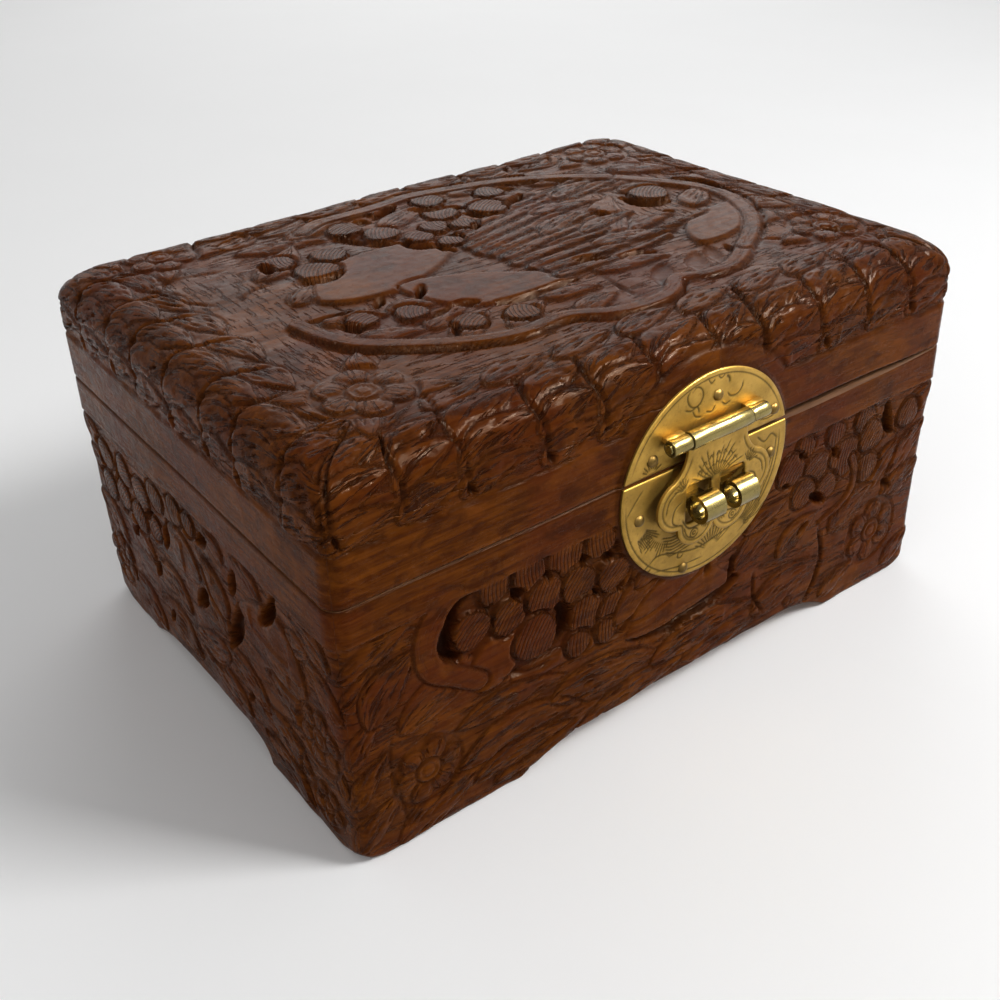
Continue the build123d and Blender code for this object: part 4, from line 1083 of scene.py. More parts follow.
def lid_board():
    """The top board: a carved flat, a rounded edge that rolls over it, and a plain underside."""
    x, y, g, s = lid_flat()
    columns, rows = x.shape
    loops = []
    rolls = 23
    for i in range(1, rolls + 1):
        t = i / rolls * math.pi / 2
        loops.append((EDGE * (1 - math.sin(t)), TOP - EDGE * (1 - math.cos(t)), t, EDGE * t))
    drops = 7
    for i in range(1, drops + 1):
        drop = (TOP - EDGE - BOARD_LOW) * i / drops
        loops.append((0.0, TOP - EDGE - drop, math.pi / 2, EDGE * math.pi / 2 + drop))
    places = [np.column_stack([x.ravel(), y.ravel(), np.full(x.size, TOP)])]
    normals = [np.tile([0.0, 0.0, 1.0], (x.size, 1))]
    gs, ss = [g.ravel()], [s.ravel()]
    for inset, z, t, way in loops:
        growth = (CORNER_ROUNDING - CORNER) / EDGE
        place, out, turned = lid_ring(inset, CORNER + growth * inset)
        places.append(np.column_stack([place, np.full(len(place), z)]))
        normals.append(np.column_stack([out * math.sin(t), np.full(len(out), math.cos(t))]))
        gs.append(turned)
        ss.append(np.full(len(turned), way))
    places, normals = np.concatenate(places), np.concatenate(normals)
    gs, ss = np.concatenate(gs), np.concatenate(ss)

    relief = Relief(gs, ss, places)
    carve_lid(relief, gs, ss)
    carve_top(relief.seen(
        np.where(ss > 0, -999.0, places[:, 0] - LEFT), places[:, 1] - FRONT
    ))
    k = relief.kept
    finish_lid(k, relief, gs, ss)
    points = places - normals * k["depth"][:, None]

    grid = np.arange(x.size).reshape(columns, rows)
    top = np.stack([grid[:-1, :-1], grid[1:, :-1], grid[1:, 1:], grid[:-1, 1:]], 2).reshape(-1, 4)
    rim = np.concatenate([grid[:-1, 0], grid[-1, :-1], grid[:0:-1, -1], grid[0, :0:-1]])
    around = len(rim)
    rings = [rim] + [x.size + i * around + np.arange(around) for i in range(len(loops))]
    rings = np.array(rings)
    after = np.roll(rings, -1, 1)
    skirt = np.stack([rings[1:], after[1:], after[:-1], rings[:-1]], 2).reshape(-1, 4)
    under = rings[-1][::-1][None]
    edges = np.concatenate([
        grid_edges(rows, columns),
        np.stack([rings[:-1].ravel(), rings[1:].ravel()], 1),
        np.stack([rings[1:].ravel(), after[1:].ravel()], 1),
    ])
    carved = len(top) + len(skirt)
    piece = make_mesh(
        "carved_lid_top", points, [top, skirt, under], [carved_wood[True], plain_wood],
        np.concatenate([np.zeros(carved), [1]]), np.concatenate([np.zeros(carved, bool), [True]]),
        wear(k, edges, len(points)),
    )
    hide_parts("lid_top_board")
    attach(piece, "lid")
    return piece


def finish_lid(k, relief, g, s):
    """What the lid's board and its rails share: flat land under the brass."""
    views = faces_of(relief, g, s)
    z = np.where(s > 0, TOP - EDGE - (s - EDGE * math.pi / 2), 999.0)
    lock_land(k, views["front"], z)
    hinge_land(k, views["back"], z)
    np.maximum(k["depth"], 0, out=k["depth"])


def carve_rail(relief, g, z):
    """The outside of the rails, which goes on from the top board."""
    s = EDGE * math.pi / 2 + TOP - EDGE - z
    carve_lid(relief, g, s)
    k = relief.kept
    k["depth"] += 0.35 * smooth(LID_LOW + 1.0, LID_LOW - 0.1, z) ** 2
    finish_lid(k, relief, g, s)


# ---- materials ----


class Nodes:
    """A short way to write a node material."""

    def __init__(self, name):
        self.material = bpy.data.materials.new(name)
        self.material.use_nodes = True
        self.tree = self.material.node_tree
        self.tree.nodes.clear()
        self.shader = self.add("ShaderNodeBsdfPrincipled")
        output = self.add("ShaderNodeOutputMaterial")
        self.link(self.shader.outputs[0], output.inputs[0])

    def add(self, kind, **settings):
        node = self.tree.nodes.new(kind)
        for key, value in settings.items():
            setattr(node, key, value)
        return node

    def link(self, source, target):
        if isinstance(source, (int, float)):
            target.default_value = source
        else:
            self.tree.links.new(source, target)

    def math(self, operation, a, b=0.0, c=0.0, clamp=False):
        node = self.add("ShaderNodeMath", operation=operation, use_clamp=clamp)
        for value, socket in zip((a, b, c), node.inputs):
            self.link(value, socket)
        return node.outputs[0]

    def attribute(self, name):
        return self.add("ShaderNodeAttribute", attribute_name=name)

    def place(self, scale):
        """The place on the object, in millimetres times a scale for each axis."""
        coordinates = self.add("ShaderNodeTexCoord")
        mapping = self.add("ShaderNodeMapping")
        mapping.inputs["Scale"].default_value = [1000 * s for s in scale]
        self.link(coordinates.outputs["Object"], mapping.inputs["Vector"])
        return mapping.outputs[0]

    def noise(self, vector, scale=1.0, detail=3.0, roughness=0.5, distortion=0.0):
        node = self.add("ShaderNodeTexNoise")
        self.link(vector, node.inputs["Vector"])
        node.inputs["Scale"].default_value = scale
        node.inputs["Detail"].default_value = detail
        node.inputs["Roughness"].default_value = roughness
        node.inputs["Distortion"].default_value = distortion
        return node.outputs["Fac"]

    def step(self, value, low, high):
        """A soft step from 0 at low to 1 at high."""
        node = self.add("ShaderNodeMapRange", interpolation_type="SMOOTHSTEP")
        self.link(value, node.inputs["Value"])
        node.inputs["From Min"].default_value = low
        node.inputs["From Max"].default_value = high
        return node.outputs["Result"]

    def mix(self, share, a, b, blend="MIX"):
        node = self.add("ShaderNodeMix", data_type="RGBA", blend_type=blend)
        self.link(share, node.inputs["Factor"])
        for value, socket in ((a, node.inputs[6]), (b, node.inputs[7])):
            if isinstance(value, tuple):
                socket.default_value = (*value, 1)
            else:
                self.link(value, socket)
        return node.outputs[2]

    def bump(self, height, distance, strength=1.0, normal=None):
        node = self.add("ShaderNodeBump")
        node.inputs["Distance"].default_value = distance * MM
        node.inputs["Strength"].default_value = strength
        self.link(height, node.inputs["Height"])
        if normal is not None:
            self.link(normal, node.inputs["Normal"])
        return node.outputs[0]

    def set(self, **values):
        for name, value in values.items():
            socket = self.shader.inputs[name.replace("_", " ")]
            if isinstance(value, tuple):
                socket.default_value = (*value, 1)
            else:
                self.link(value, socket)


# colours of the varnished wood
WOOD_DARK = (0.054, 0.0122, 0.0012)
WOOD_BRIGHT = (0.112, 0.0300, 0.0026)
WOOD_RED = (0.066, 0.0095, 0.0022)
PORE = (0.022, 0.005, 0.001)
STAIN = (0.026, 0.0055, 0.001)
AMBER = (0.165, 0.046, 0.0050)
# the ridge colour: rubbed varnish with a painted highlight
RUBBED_AND_HIGHLIGHT = (0.155, 0.043, 0.006)
STROKE = (0.017, 0.0032, 0.0010)
HATCH = (0.022, 0.0065, 0.0022)
# the dark of the hollows: dirt and painted shade
DIRT_AND_SHADE = (0.013, 0.0038, 0.0018)


def carved_material(name, along_x):
    """Dark varnished hardwood: grain, gouge strokes, hollows darkened by dirt and painted shade, and
    ridges lightened by rubbed varnish and a painted highlight.
    """
    n = Nodes(name)
    stretch = (0.05, 0.9, 0.9) if along_x else (0.9, 0.05, 0.9)
    grain = n.noise(n.place(stretch), 1.0, 6, 0.62, 0.4)
    pores = n.noise(n.place(tuple(3.2 * s for s in stretch)), 1.0, 3, 0.7)
    blotch = n.noise(n.place((0.03, 0.03, 0.03)), 1.0, 3, 0.55)
    fine = n.noise(n.place((0.35, 0.35, 0.35)), 1.0, 5, 0.6)

    flow = n.attribute("flow").outputs["Vector"]
    parts = n.add("ShaderNodeSeparateXYZ")
    n.link(flow, parts.inputs[0])
    strokes_at = n.add("ShaderNodeCombineXYZ")
    n.link(n.math("MULTIPLY", parts.outputs[0], 0.8), strokes_at.inputs[0])
    n.link(n.math("MULTIPLY", parts.outputs[1], 0.11), strokes_at.inputs[1])
    n.link(n.math("MULTIPLY", blotch, 3.0), strokes_at.inputs[2])
    strokes = n.noise(strokes_at.outputs[0], 1.0, 4, 0.6)
    stroke = n.math("MULTIPLY", n.step(strokes, 0.47, 0.37), parts.outputs[2])
    hatch_wave = n.math("SINE", n.math(
        "ADD", n.math("MULTIPLY", parts.outputs[0], 5.6), n.math("MULTIPLY", fine, 1.6)
    ))
    hatch = n.math("MULTIPLY", n.step(hatch_wave, 0.1, 0.95), n.attribute("hatch").outputs["Fac"])
    cut = n.attribute("cut").outputs["Fac"]
    worn = n.attribute("worn").outputs["Fac"]

    wood = n.mix(n.step(grain, 0.34, 0.66), WOOD_DARK, WOOD_BRIGHT)
    wood = n.mix(n.step(blotch, 0.38, 0.66), wood, n.mix(0.55, wood, WOOD_RED))
    wood = n.mix(n.math("MULTIPLY", n.step(pores, 0.58, 0.72), 0.22), wood, PORE)
    stain = n.noise(n.place((0.11, 0.11, 0.2)), 1.0, 5, 0.62, 0.6)
    wood = n.mix(n.math("MULTIPLY", n.step(stain, 0.48, 0.66), 0.62), wood, STAIN)
    rubbed = n.noise(n.place((0.055, 0.055, 0.08)), 1.0, 4, 0.6, 0.8)
    wood = n.mix(n.math("MULTIPLY", n.step(rubbed, 0.52, 0.70), 0.38), wood, AMBER)
    # painted highlight with rubbed varnish on the ridges
    rub_and_highlight = n.math("MULTIPLY", worn, n.step(fine, 0.35, 0.6), clamp=True)
    wood = n.mix(n.math("MULTIPLY", rub_and_highlight, 0.45), wood, RUBBED_AND_HIGHLIGHT)
    wood = n.mix(n.math("MULTIPLY", stroke, 0.75, clamp=True), wood, STROKE)
    wood = n.mix(n.math("MULTIPLY", hatch, 0.5, clamp=True), wood, HATCH)
    # painted shade mixed with dirt: hollows and the lines round carved shapes are darkened
    dirt_and_shade = n.math("MULTIPLY", cut, n.math("MULTIPLY_ADD", fine, 0.7, 0.6), clamp=True)
    wood = n.mix(n.math("MULTIPLY", dirt_and_shade, 0.88), wood, DIRT_AND_SHADE)

    height = n.math("MULTIPLY", grain, 0.05)
    height = n.math("MULTIPLY_ADD", pores, 0.05, height)
    height = n.math("MULTIPLY_ADD", fine, 0.2, height)
    height = n.math("SUBTRACT", height, n.math("MULTIPLY", stroke, 0.85))
    height = n.math("SUBTRACT", height, n.math("MULTIPLY", hatch, 0.6))
    rough = n.math("MULTIPLY_ADD", n.step(fine, 0.36, 0.62), 0.20, 0.10)
    rough = n.math("MULTIPLY_ADD", dirt_and_shade, 0.18, rough)
    n.set(Base_Color=wood, Roughness=rough, Normal=n.bump(height, 0.6, 0.9),
          Specular_IOR_Level=0.035, Specular_Tint=(1.0, 0.66, 0.42))
    return n.material


def plain_material():
    """The bare inside of the box: paler wood with open grain."""
    n = Nodes("plain_inner_wood")
    grain = n.noise(n.place((0.04, 0.5, 0.7)), 1.0, 6, 0.6, 0.5)
    pores = n.noise(n.place((0.25, 2.6, 2.6)), 1.0, 3, 0.7)
    stain = n.noise(n.place((0.02, 0.02, 0.02)), 1.0, 4, 0.6)
    wood = n.mix(n.step(grain, 0.3, 0.7), (0.13, 0.052, 0.018), (0.27, 0.125, 0.05))
    wood = n.mix(n.math("MULTIPLY", n.step(pores, 0.56, 0.7), 0.5), wood, (0.06, 0.022, 0.008))
    wood = n.mix(n.math("MULTIPLY", n.step(stain, 0.45, 0.7), 0.4), wood, (0.07, 0.03, 0.012))
    height = n.math("MULTIPLY_ADD", grain, 0.3, n.math("MULTIPLY", pores, -0.4))
    n.set(Base_Color=wood, Roughness=n.math("MULTIPLY_ADD", grain, 0.2, 0.5),
          Normal=n.bump(height, 0.3, 0.6), Specular_IOR_Level=0.3)
    return n.material


def brass_material(name, bright, dark, roughness, tarnish):
    """Brass with brown-green tarnish that gathers in its cuts and fades on its ridges."""
    n = Nodes(name)
    cloud = n.noise(n.place((0.09, 0.09, 0.09)), 1.0, 5, 0.62)
    specks = n.noise(n.place((0.8, 0.8, 0.8)), 1.0, 4, 0.7)
    brushed = n.noise(n.place((0.25, 1.6, 3.0)), 1.0, 3, 0.6)
    cut = n.attribute("cut").outputs["Fac"]
    age = n.math("MULTIPLY", n.step(cloud, 0.45 - tarnish * 0.2, 0.75), 0.6)
    age = n.math("MULTIPLY_ADD", n.step(specks, 0.55, 0.75), 0.35, age)
    metal = n.mix(n.step(cloud, 0.35, 0.65), bright, tuple(0.82 * c for c in bright))
    metal = n.mix(n.math("MULTIPLY", age, tarnish, clamp=True), metal, dark)
    metal = n.mix(n.math("MULTIPLY", cut, 0.92, clamp=True), metal, (0.035, 0.022, 0.006))
    rough = n.math("MULTIPLY_ADD", age, 0.3, roughness)
    rough = n.math("MULTIPLY_ADD", cut, 0.25, rough, clamp=True)
    height = n.math("MULTIPLY_ADD", brushed, 0.25, n.math("MULTIPLY", specks, 0.5))
    n.set(Base_Color=metal, Metallic=1.0, Roughness=rough, Normal=n.bump(height, 0.08, 0.6))
    return n.material


carved_wood = {True: carved_material("carved_wood_long", True),
               False: carved_material("carved_wood_short", False)}
plain_wood = plain_material()
engraved_brass = brass_material("engraved_brass_plate", (0.45, 0.270, 0.056), (0.110, 0.060, 0.009),
                                0.34, 0.85)
polished_brass = brass_material("polished_brass_barrel", (0.27, 0.210, 0.075), (0.09, 0.062, 0.018),
                                0.17, 0.6)
old_brass = brass_material("old_brass_nails", (0.20, 0.120, 0.032), (0.045, 0.028, 0.009), 0.34, 1.0)


# ---- the wooden pieces ----


def base_profile(low, high):
    """The inside of a base wall, from its rim down, with the groove for the bottom board."""
    level = np.ones(len(low))
    return [
        (0.0, high), (0.0, GROOVE_HIGH * level), (GROOVE_DEPTH, GROOVE_HIGH * level),
        (GROOVE_DEPTH, GROOVE_LOW * level), (0.0, GROOVE_LOW * level), (0.0, low),
    ]


def rail_profile(low, high):
    """The inside of a lid rail, which is plain."""
    return [(0.0, high), (0.0, low)]


def arch_of(side):
    """The lower edge of a base wall at a place along it."""
    start, end, first, last = ARCHES[side]

    def edge(a):
        rise = []
        for run, away in ((first, a - start), (last, end - a)):
            radius = (run**2 + ARCH**2) / (2 * ARCH)
            t = np.clip(run - away, 0, run)
            part = ARCH - radius + np.sqrt(radius**2 - t**2)
            rise.append(np.where(away < 0, 0, part))
        return np.minimum(*rise)

    return edge


def rim_of(side):
    """The upper edge of a base wall, worn down at the front right."""
    return lambda a: RIM - (RIM_WEAR * bow(a) if side == "front" else 0 * a)


def lid_edge_of(side):
    """The lower edge of the lid, bowed up at the front right."""
    return lambda a: LID_LOW + (LID_BOW * bow(a) if side == "front" else 0 * a)


def board_top(a):
    """The seam between a rail and the top board."""
    return BOARD_LOW + 0 * a


for side_name in SIDES:
    wall = side_board(
        f"carved_base_{side_name}", side_name, arch_of(side_name), rim_of(side_name),
        base_profile, carve_base, "base",
    )
    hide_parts(f"base_{side_name}_board")
    rail = side_board(
        f"carved_lid_{side_name}", side_name, lid_edge_of(side_name), board_top,
        rail_profile, carve_rail, "lid",
    )
    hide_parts(f"lid_{side_name}_rail")

lid_board()


# ---- engraved brass: the lock plate's halves and the hasp ----


def arc(start, via, end, steps=14):
    """Points along the circle through three points, without the last one."""
    (ax, ay), (bx, by), (cx, cy) = start, via, end
    d = 2 * (ax * (by - cy) + bx * (cy - ay) + cx * (ay - by))
    ux = ((ax**2 + ay**2) * (by - cy) + (bx**2 + by**2) * (cy - ay) + (cx**2 + cy**2) * (ay - by)) / d
    uy = ((ax**2 + ay**2) * (cx - bx) + (bx**2 + by**2) * (ax - cx) + (cx**2 + cy**2) * (bx - ax)) / d
    radius = math.hypot(ax - ux, ay - uy)
    first, mid, last = (math.atan2(y - uy, x - ux) for x, y in (start, via, end))
    turn = (last - first) % (2 * math.pi)
    if (mid - first) % (2 * math.pi) > turn:
        turn -= 2 * math.pi
    angles = first + turn * np.arange(steps) / steps
    return [(ux + radius * math.cos(t), uy + radius * math.sin(t)) for t in angles]


def resample(loop, spacing):
    """A closed outline with points a fixed distance apart, and its corners kept."""
    points = []
    for a, b in zip(loop, loop[1:] + loop[:1]):
        n = max(1, int(round(math.dist(a, b) / spacing)))
        points += [tuple(np.array(a) + (np.array(b) - a) * i / n) for i in range(n)]
    return points


def inside_of(loop, x, y):
    """Which points lie inside a closed outline."""
    inside = np.zeros(len(x), bool)
    for (ax, ay), (bx, by) in zip(loop, loop[1:] + loop[:1]):
        crosses = (ay > y) != (by > y)
        where = ax + (y - ay) / (by - ay if by != ay else 1e-9) * (bx - ax)
        inside ^= crosses & (x < where)
    return inside


def from_edge(loops, x, y):
    """How far each point is from the nearest outline."""
    nearest = np.full(len(x), 1e9)
    for loop in loops:
        across = along(np.array(loop + loop[:1]), x, y)[0]
        nearest = np.minimum(nearest, np.abs(across))
    return nearest


class Sheet:
    """A flat sheet of brass that is engraved. X and y are measured from the plate's centre."""

    def __init__(self, loops):
        loops = [resample(loop, BRASS_CELL) for loop in loops]
        outline = np.array(loops[0])
        low, high = outline.min(0), outline.max(0)
        rows = np.arange(low[1], high[1], BRASS_CELL * 0.866)
        points = []
        for i, y in enumerate(rows):
            x = np.arange(low[0] + (i % 2) * BRASS_CELL / 2, high[0], BRASS_CELL)
            points.append(np.column_stack([x, np.full(len(x), y)]))
        points = np.concatenate(points)
        keep = inside_of(loops[0], points[:, 0], points[:, 1])
        for hole in loops[1:]:
            keep &= ~inside_of(hole, points[:, 0], points[:, 1])
        keep &= from_edge(loops, points[:, 0], points[:, 1]) > BRASS_CELL * 0.5
        border = [p for loop in loops for p in loop]
        edges, first = [], 0
        for loop in loops:
            n = len(loop)
            edges += [(first + i, first + (i + 1) % n) for i in range(n)]
            first += n
        every = border + [tuple(p) for p in points[keep]]
        made = delaunay_2d_cdt([Vector(p) for p in every], edges, [], 0, 1e-5)
        self.points = np.array([tuple(v) for v in made[0]])
        triangles = np.array([f for f in made[2]])
        middle = self.points[triangles].mean(1)
        good = inside_of(loops[0], middle[:, 0], middle[:, 1])
        for hole in loops[1:]:
            good &= ~inside_of(hole, middle[:, 0], middle[:, 1])
        self.triangles = triangles[good]
        self.border = edges
        self.x, self.y = self.points.T
        self.cut = np.zeros(len(self.x))
        away = from_edge(loops, self.x, self.y)
        self.depth = 0.22 * smooth(0.7, 0.0, away) ** 2

    def line(self, points, width=0.55, depth=0.16, curved=True):
        """An engraved line."""
        way = bend(points, 6) if curved and len(points) > 2 else np.array(points, float)
        low, high = way.min(0) - width, way.max(0) + width
        at = np.flatnonzero(
            (self.x > low[0]) & (self.x < high[0]) & (self.y > low[1]) & (self.y < high[1])
        )
        across, run, length = along(way, self.x[at], self.y[at])
        ends = smooth(0, 0.1, run / length) * smooth(1, 0.9, run / length)
        shape = smooth(width * 0.75, 0.05, np.abs(across)) * (0.35 + 0.65 * ends)
        self.depth[at] = np.maximum(self.depth[at], depth * shape)
        self.cut[at] = np.maximum(self.cut[at], shape)

    def ring(self, x, y, radius, width=0.5, depth=0.16):
        turn = np.linspace(0, 2 * math.pi, 25)
        self.line(np.column_stack([x + radius * np.cos(turn), y + radius * np.sin(turn)]),
                  width, depth, False)

    def fan(self, x, y, near, far, first, last, count, width=0.45, bow=0.0):
        """Lines that spread from a point between two angles, in degrees."""
        for i in range(count):
            t = math.radians(first + (last - first) * i / (count - 1))
            reach = far * (0.88 + 0.12 * math.sin(5.0 * i))
            way, side = (math.cos(t), math.sin(t)), (-math.sin(t), math.cos(t))
            self.line([(x + near * way[0], y + near * way[1]),
                       (x + (near + reach) / 2 * way[0] + bow * side[0],
                        y + (near + reach) / 2 * way[1] + bow * side[1]),
                       (x + reach * way[0], y + reach * way[1])], width)

    def solid(self, front_y, thickness):
        """Points and faces of the sheet with its back and its edges."""
        n = len(self.points)
        wave = 0.05 + 0.05 * noise(np.column_stack([self.x, self.y, 0 * self.x]), 5.0, 31)
        front = front_y + self.depth + wave
        x, z = LOCK_X + self.x, LOCK_Z + self.y
        points = np.concatenate([
            np.column_stack([x, front, z]),
            np.column_stack([x, np.full(n, front_y + thickness), z]),
        ])
        back = self.triangles[:, ::-1] + n
        sides = np.array([[b, a, a + n, b + n] for a, b in self.border])
        return points, [self.triangles, back, sides]


def tube(middle, length, radius, bore, seam, steps=56):
    """A rolled knuckle round the barrel's axis: its points and faces."""
    half = length / 2
    bevel = 0.22
    profile = [
        (-half, bore), (-half, radius - bevel), (-half + bevel * 0.3, radius - bevel * 0.3),
        (-half + bevel, radius), (-half * 0.5, radius), (0, radius), (half * 0.5, radius),
        (half - bevel, radius), (half - bevel * 0.3, radius - bevel * 0.3),
        (half, radius - bevel), (half, bore),
    ]
    turn = np.arange(steps) / steps * 2 * math.pi
    off = np.abs((turn - seam + math.pi) % (2 * math.pi) - math.pi)
    dent = 0.22 * smooth(0.16, 0.0, off)
    points, cut = [], []
    for x, r in profile:
        out = r - dent * (r > bore + 0.1) - 0.03 * np.sin(3 * turn + x) ** 2 * (r > bore + 0.1)
        points.append(np.column_stack([
            np.full(steps, LOCK_X + middle + x), AXIS_Y - out * np.cos(turn),
            LOCK_Z + AXIS_Z + out * np.sin(turn),
        ]))
        cut.append(dent / 0.22 * (r > bore + 0.1) + 0.6 * (abs(x) > half - bevel * 0.5))
    ring = np.arange(len(profile) * steps).reshape(len(profile), steps)
    after, along_ring = np.roll(ring, -1, 0), np.roll(ring, -1, 1)
    both = np.roll(after, -1, 1)
    faces = np.stack([ring, after, both, along_ring], 2).reshape(-1, 4)
    return np.concatenate(points), faces, np.clip(np.concatenate(cut), 0, 1)


def bar(x_low, x_high, y_low, y_high, z_low, z_high, bevel=0.3):
    """A bar along the barrel with eased edges: its points and faces."""
    section = []
    for y, z, dy, dz in ((y_low, z_low, 1, 1), (y_high, z_low, -1, 1),
                         (y_high, z_high, -1, -1), (y_low, z_high, 1, -1)):
        first, second = (y, z + dz * bevel), (y + dy * bevel, z)
        section += [first, second] if dy == dz else [second, first]
    n = len(section)
    points = [(x, y, z) for x in (x_low, x_high) for y, z in section]
    sides = np.array([[i, (i + 1) % n, n + (i + 1) % n, n + i] for i in range(n)])
    caps = np.array([[*range(n)][::-1], [*range(n, 2 * n)]])
    return np.array(points), sides, caps


def brass_piece(name, node, body, sheet, front_y, thickness, tubes=(), bars=()):
    """Joins an engraved sheet and its knuckles into one piece of the scene."""
    points, (front, back, walls) = sheet.solid(front_y, thickness)
    places, cuts = [points], [sheet.cut, np.zeros(len(sheet.cut))]
    # each skin with whether it is polished and whether it is flat
    skins, caps = [(front, False, False), (back, False, True), (walls, False, True)], []
    count = len(points)
    for tube_points, faces, cut in tubes:
        places.append(tube_points)
        cuts.append(cut)
        skins.append((faces + count, True, False))
        count += len(tube_points)
    for bar_points, faces, ends in bars:
        places.append(bar_points)
        cuts.append(np.zeros(len(bar_points)))
        skins.append((faces + count, False, False))
        caps.append((ends + count, False, True))
        count += len(bar_points)
    skins += caps
    polished = np.concatenate([np.full(len(faces), int(shiny)) for faces, shiny, hard in skins])
    flat = np.concatenate([np.full(len(faces), hard) for faces, shiny, hard in skins])
    piece = make_mesh(
        name, np.concatenate(places), [faces for faces, shiny, hard in skins],
        [engraved_brass, polished_brass], polished, flat, {"cut": np.concatenate(cuts)},
    )
    mesh = bmesh.new()
    mesh.from_mesh(piece.data)
    bmesh.ops.recalc_face_normals(mesh, faces=mesh.faces)
    mesh.to_mesh(piece.data)
    mesh.free()
    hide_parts(node)
    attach(piece, body)
    return piece


def plate_segment(low, high):
    """The part of the round plate between two heights above its centre."""
    radius = PLATE_RADIUS
    if low is None:
        half = math.asin(high / radius)
        turn = np.linspace(half, -math.pi - half, 120)
    else:
        half = math.asin(low / radius)
        turn = np.linspace(math.pi - half, half, 100)
    return [(radius * math.cos(t), radius * math.sin(t)) for t in turn]


def lower_plate():
    """The lower part of the lock plate: rim lines, fans and waves."""
    sheet = Sheet([plate_segment(None, PLATE_HIGH[2] - LOCK_Z)])
    for reach, start, end in ((27.4, 178, 300), (26.2, 300, 368), (25.0, 318, 366)):
        turn = np.radians(np.linspace(start, end, 40))
        sheet.line(np.column_stack([reach * np.cos(turn), reach * np.sin(turn)]), 0.5, 0.12, False)
    sheet.fan(-24.5, -6.0, 4.5, 10.5, -72, -28, 11)
    sheet.fan(-12.0, -8.0, 7.0, 11.5, 196, 262, 12)
    sheet.fan(12.0, -22.0, 3.0, 14.0, 25, 85, 11, bow=-1.2)
    sheet.fan(3.0, -24.0, 2.5, 9.0, 30, 150, 12)
    for i in range(7):
        y = -14.2 - 0.95 * i
        sheet.line([(-15 + 0.3 * i, y + 1.0), (-11, y), (-7.0 + 0.4 * i, y + 0.6)], 0.42)
    for i in range(6):
        x = 14.0 + 1.5 * i
        sheet.line([(x, -9.5 - 0.5 * i), (x + 2.0, -5.0), (x + 2.6, 0.0 - 0.4 * i)], 0.42)
    sheet.line([(17.5, 4.5), (20.5, 2.0), (23.0, 3.5), (25.5, 1.5)], 0.6)
    sheet.line([(-27, -2), (-24.5, 1.0), (-22, 3.8)], 0.5)
    sheet.line([(-20, -20.2), (-16, -18.0), (-9, -20.0), (-2, -21.5), (6, -20.5), (14, -19)], 0.6)
    sheet.line([(-17, -22.6), (-8, -24.6), (0, -25.2)], 0.5)
    for x, y in ((22.4, -1.6), (-19.4, -20.6), (-8.2, -21.0), (16, -20.5)):
        sheet.ring(x, y, 0.9)
    brass_piece("engraved_lower_plate", "lower_lock_plate", "base", sheet, PLATE_FACE,
                FRONT - PLATE_FACE)


def upper_plate():
    """The upper part of the lock plate with its two end knuckles."""
    sheet = Sheet([plate_segment(box_of("upper_lock_plate")[0][2] - LOCK_Z, None)])
    turn = np.radians(np.linspace(20, 160, 50))
    sheet.line(np.column_stack([27.4 * np.cos(turn), 27.4 * np.sin(turn)]), 0.45, 0.08, False)
    # two loops beside the top nail, and the stems they grow from
    for points, width, depth in (
        ([(-7.4, 26.2), (-8.4, 24.6), (-7.9, 22.4), (-6.2, 21.0), (-4.2, 21.4), (-3.2, 23.2),
          (-3.7, 25.2), (-5.4, 26.3), (-6.8, 25.4)], 0.6, 0.16),
        ([(-9.2, 21.2), (-7.2, 20.4), (-5.0, 20.8), (-4.2, 19.0)], 0.6, 0.16),
        ([(-6.6, 20.3), (-5.5, 18.4), (-3.4, 17.6)], 0.5, 0.16),
        ([(-1.8, 27.4), (-0.6, 25.8), (0.6, 26.6)], 0.5, 0.16),
        ([(1.6, 27.2), (2.8, 26.2), (4.0, 27.0)], 0.5, 0.16),
        ([(4.6, 26.4), (5.6, 25.4), (5.8, 24.0)], 0.9, 0.2),
        ([(5.2, 21.6), (6.4, 20.2), (8.6, 19.9), (10.2, 21.2), (10.6, 23.0)], 0.6, 0.16),
        ([(3.4, 19.6), (4.8, 18.4), (6.6, 18.8)], 0.5, 0.16),
        ([(-2.0, 18.6), (0.0, 18.0), (1.2, 19.4)], 0.5, 0.16),
    ):
        sheet.line(points, width, depth)
    sheet.fan(-19.5, 7.2, 1.6, 4.4, 30, 150, 7)
    sheet.ring(22.8, 10.8, 0.9)
    sheet.line([(18.0, 9.4), (20.4, 8.8), (23.0, 9.0)], 0.5)
    tubes = [tube(side * END_OFFSET, END_LENGTH, END_RADIUS, BORE_RADIUS, 2.6) for side in (-1, 1)]
    bars = []
    for side in (-1, 1):
        middle = LOCK_X + side * END_OFFSET
        bars.append(bar(middle - END_LENGTH / 2 + 0.05, middle + END_LENGTH / 2 - 0.05,
                        AXIS_Y + 0.9, PLATE_FACE + 0.3, LOCK_Z + AXIS_Z + 0.9,
                        LOCK_Z + AXIS_Z + END_RADIUS - 0.02))
    brass_piece("engraved_upper_plate", "upper_lock_plate", "lid", sheet, PLATE_FACE,
                FRONT - PLATE_FACE, tubes, bars)


def hasp_outline():
    """Half of the hasp from the barrel round its wing and lobe, then the same mirrored."""
    shoulder = (NECK_HALF, AXIS_Z - 3.0)
    wing_top = (WING_TOP, AXIS_Z - 10.5)
    notch = (WING_NOTCH, AXIS_Z - 24.7)
    cleft = (0.0, AXIS_Z - 26.9)
    half = [(NECK_HALF, AXIS_Z - 0.4), shoulder]
    half += arc(shoulder, (NECK_HALF + NECK_FLARE, AXIS_Z - 6.75), wing_top)
    half += arc(wing_top, (WING_HALF, AXIS_Z - 17.6), notch, 22)
    half += arc(notch, (LOBE_HALF, AXIS_Z - 31.0), cleft, 22)
    loop = half[::-1]
    loop += [(-x, y) for x, y in half if x > 0.01]
    return [cleft] + [p for p in loop if abs(p[0]) > 0.01]


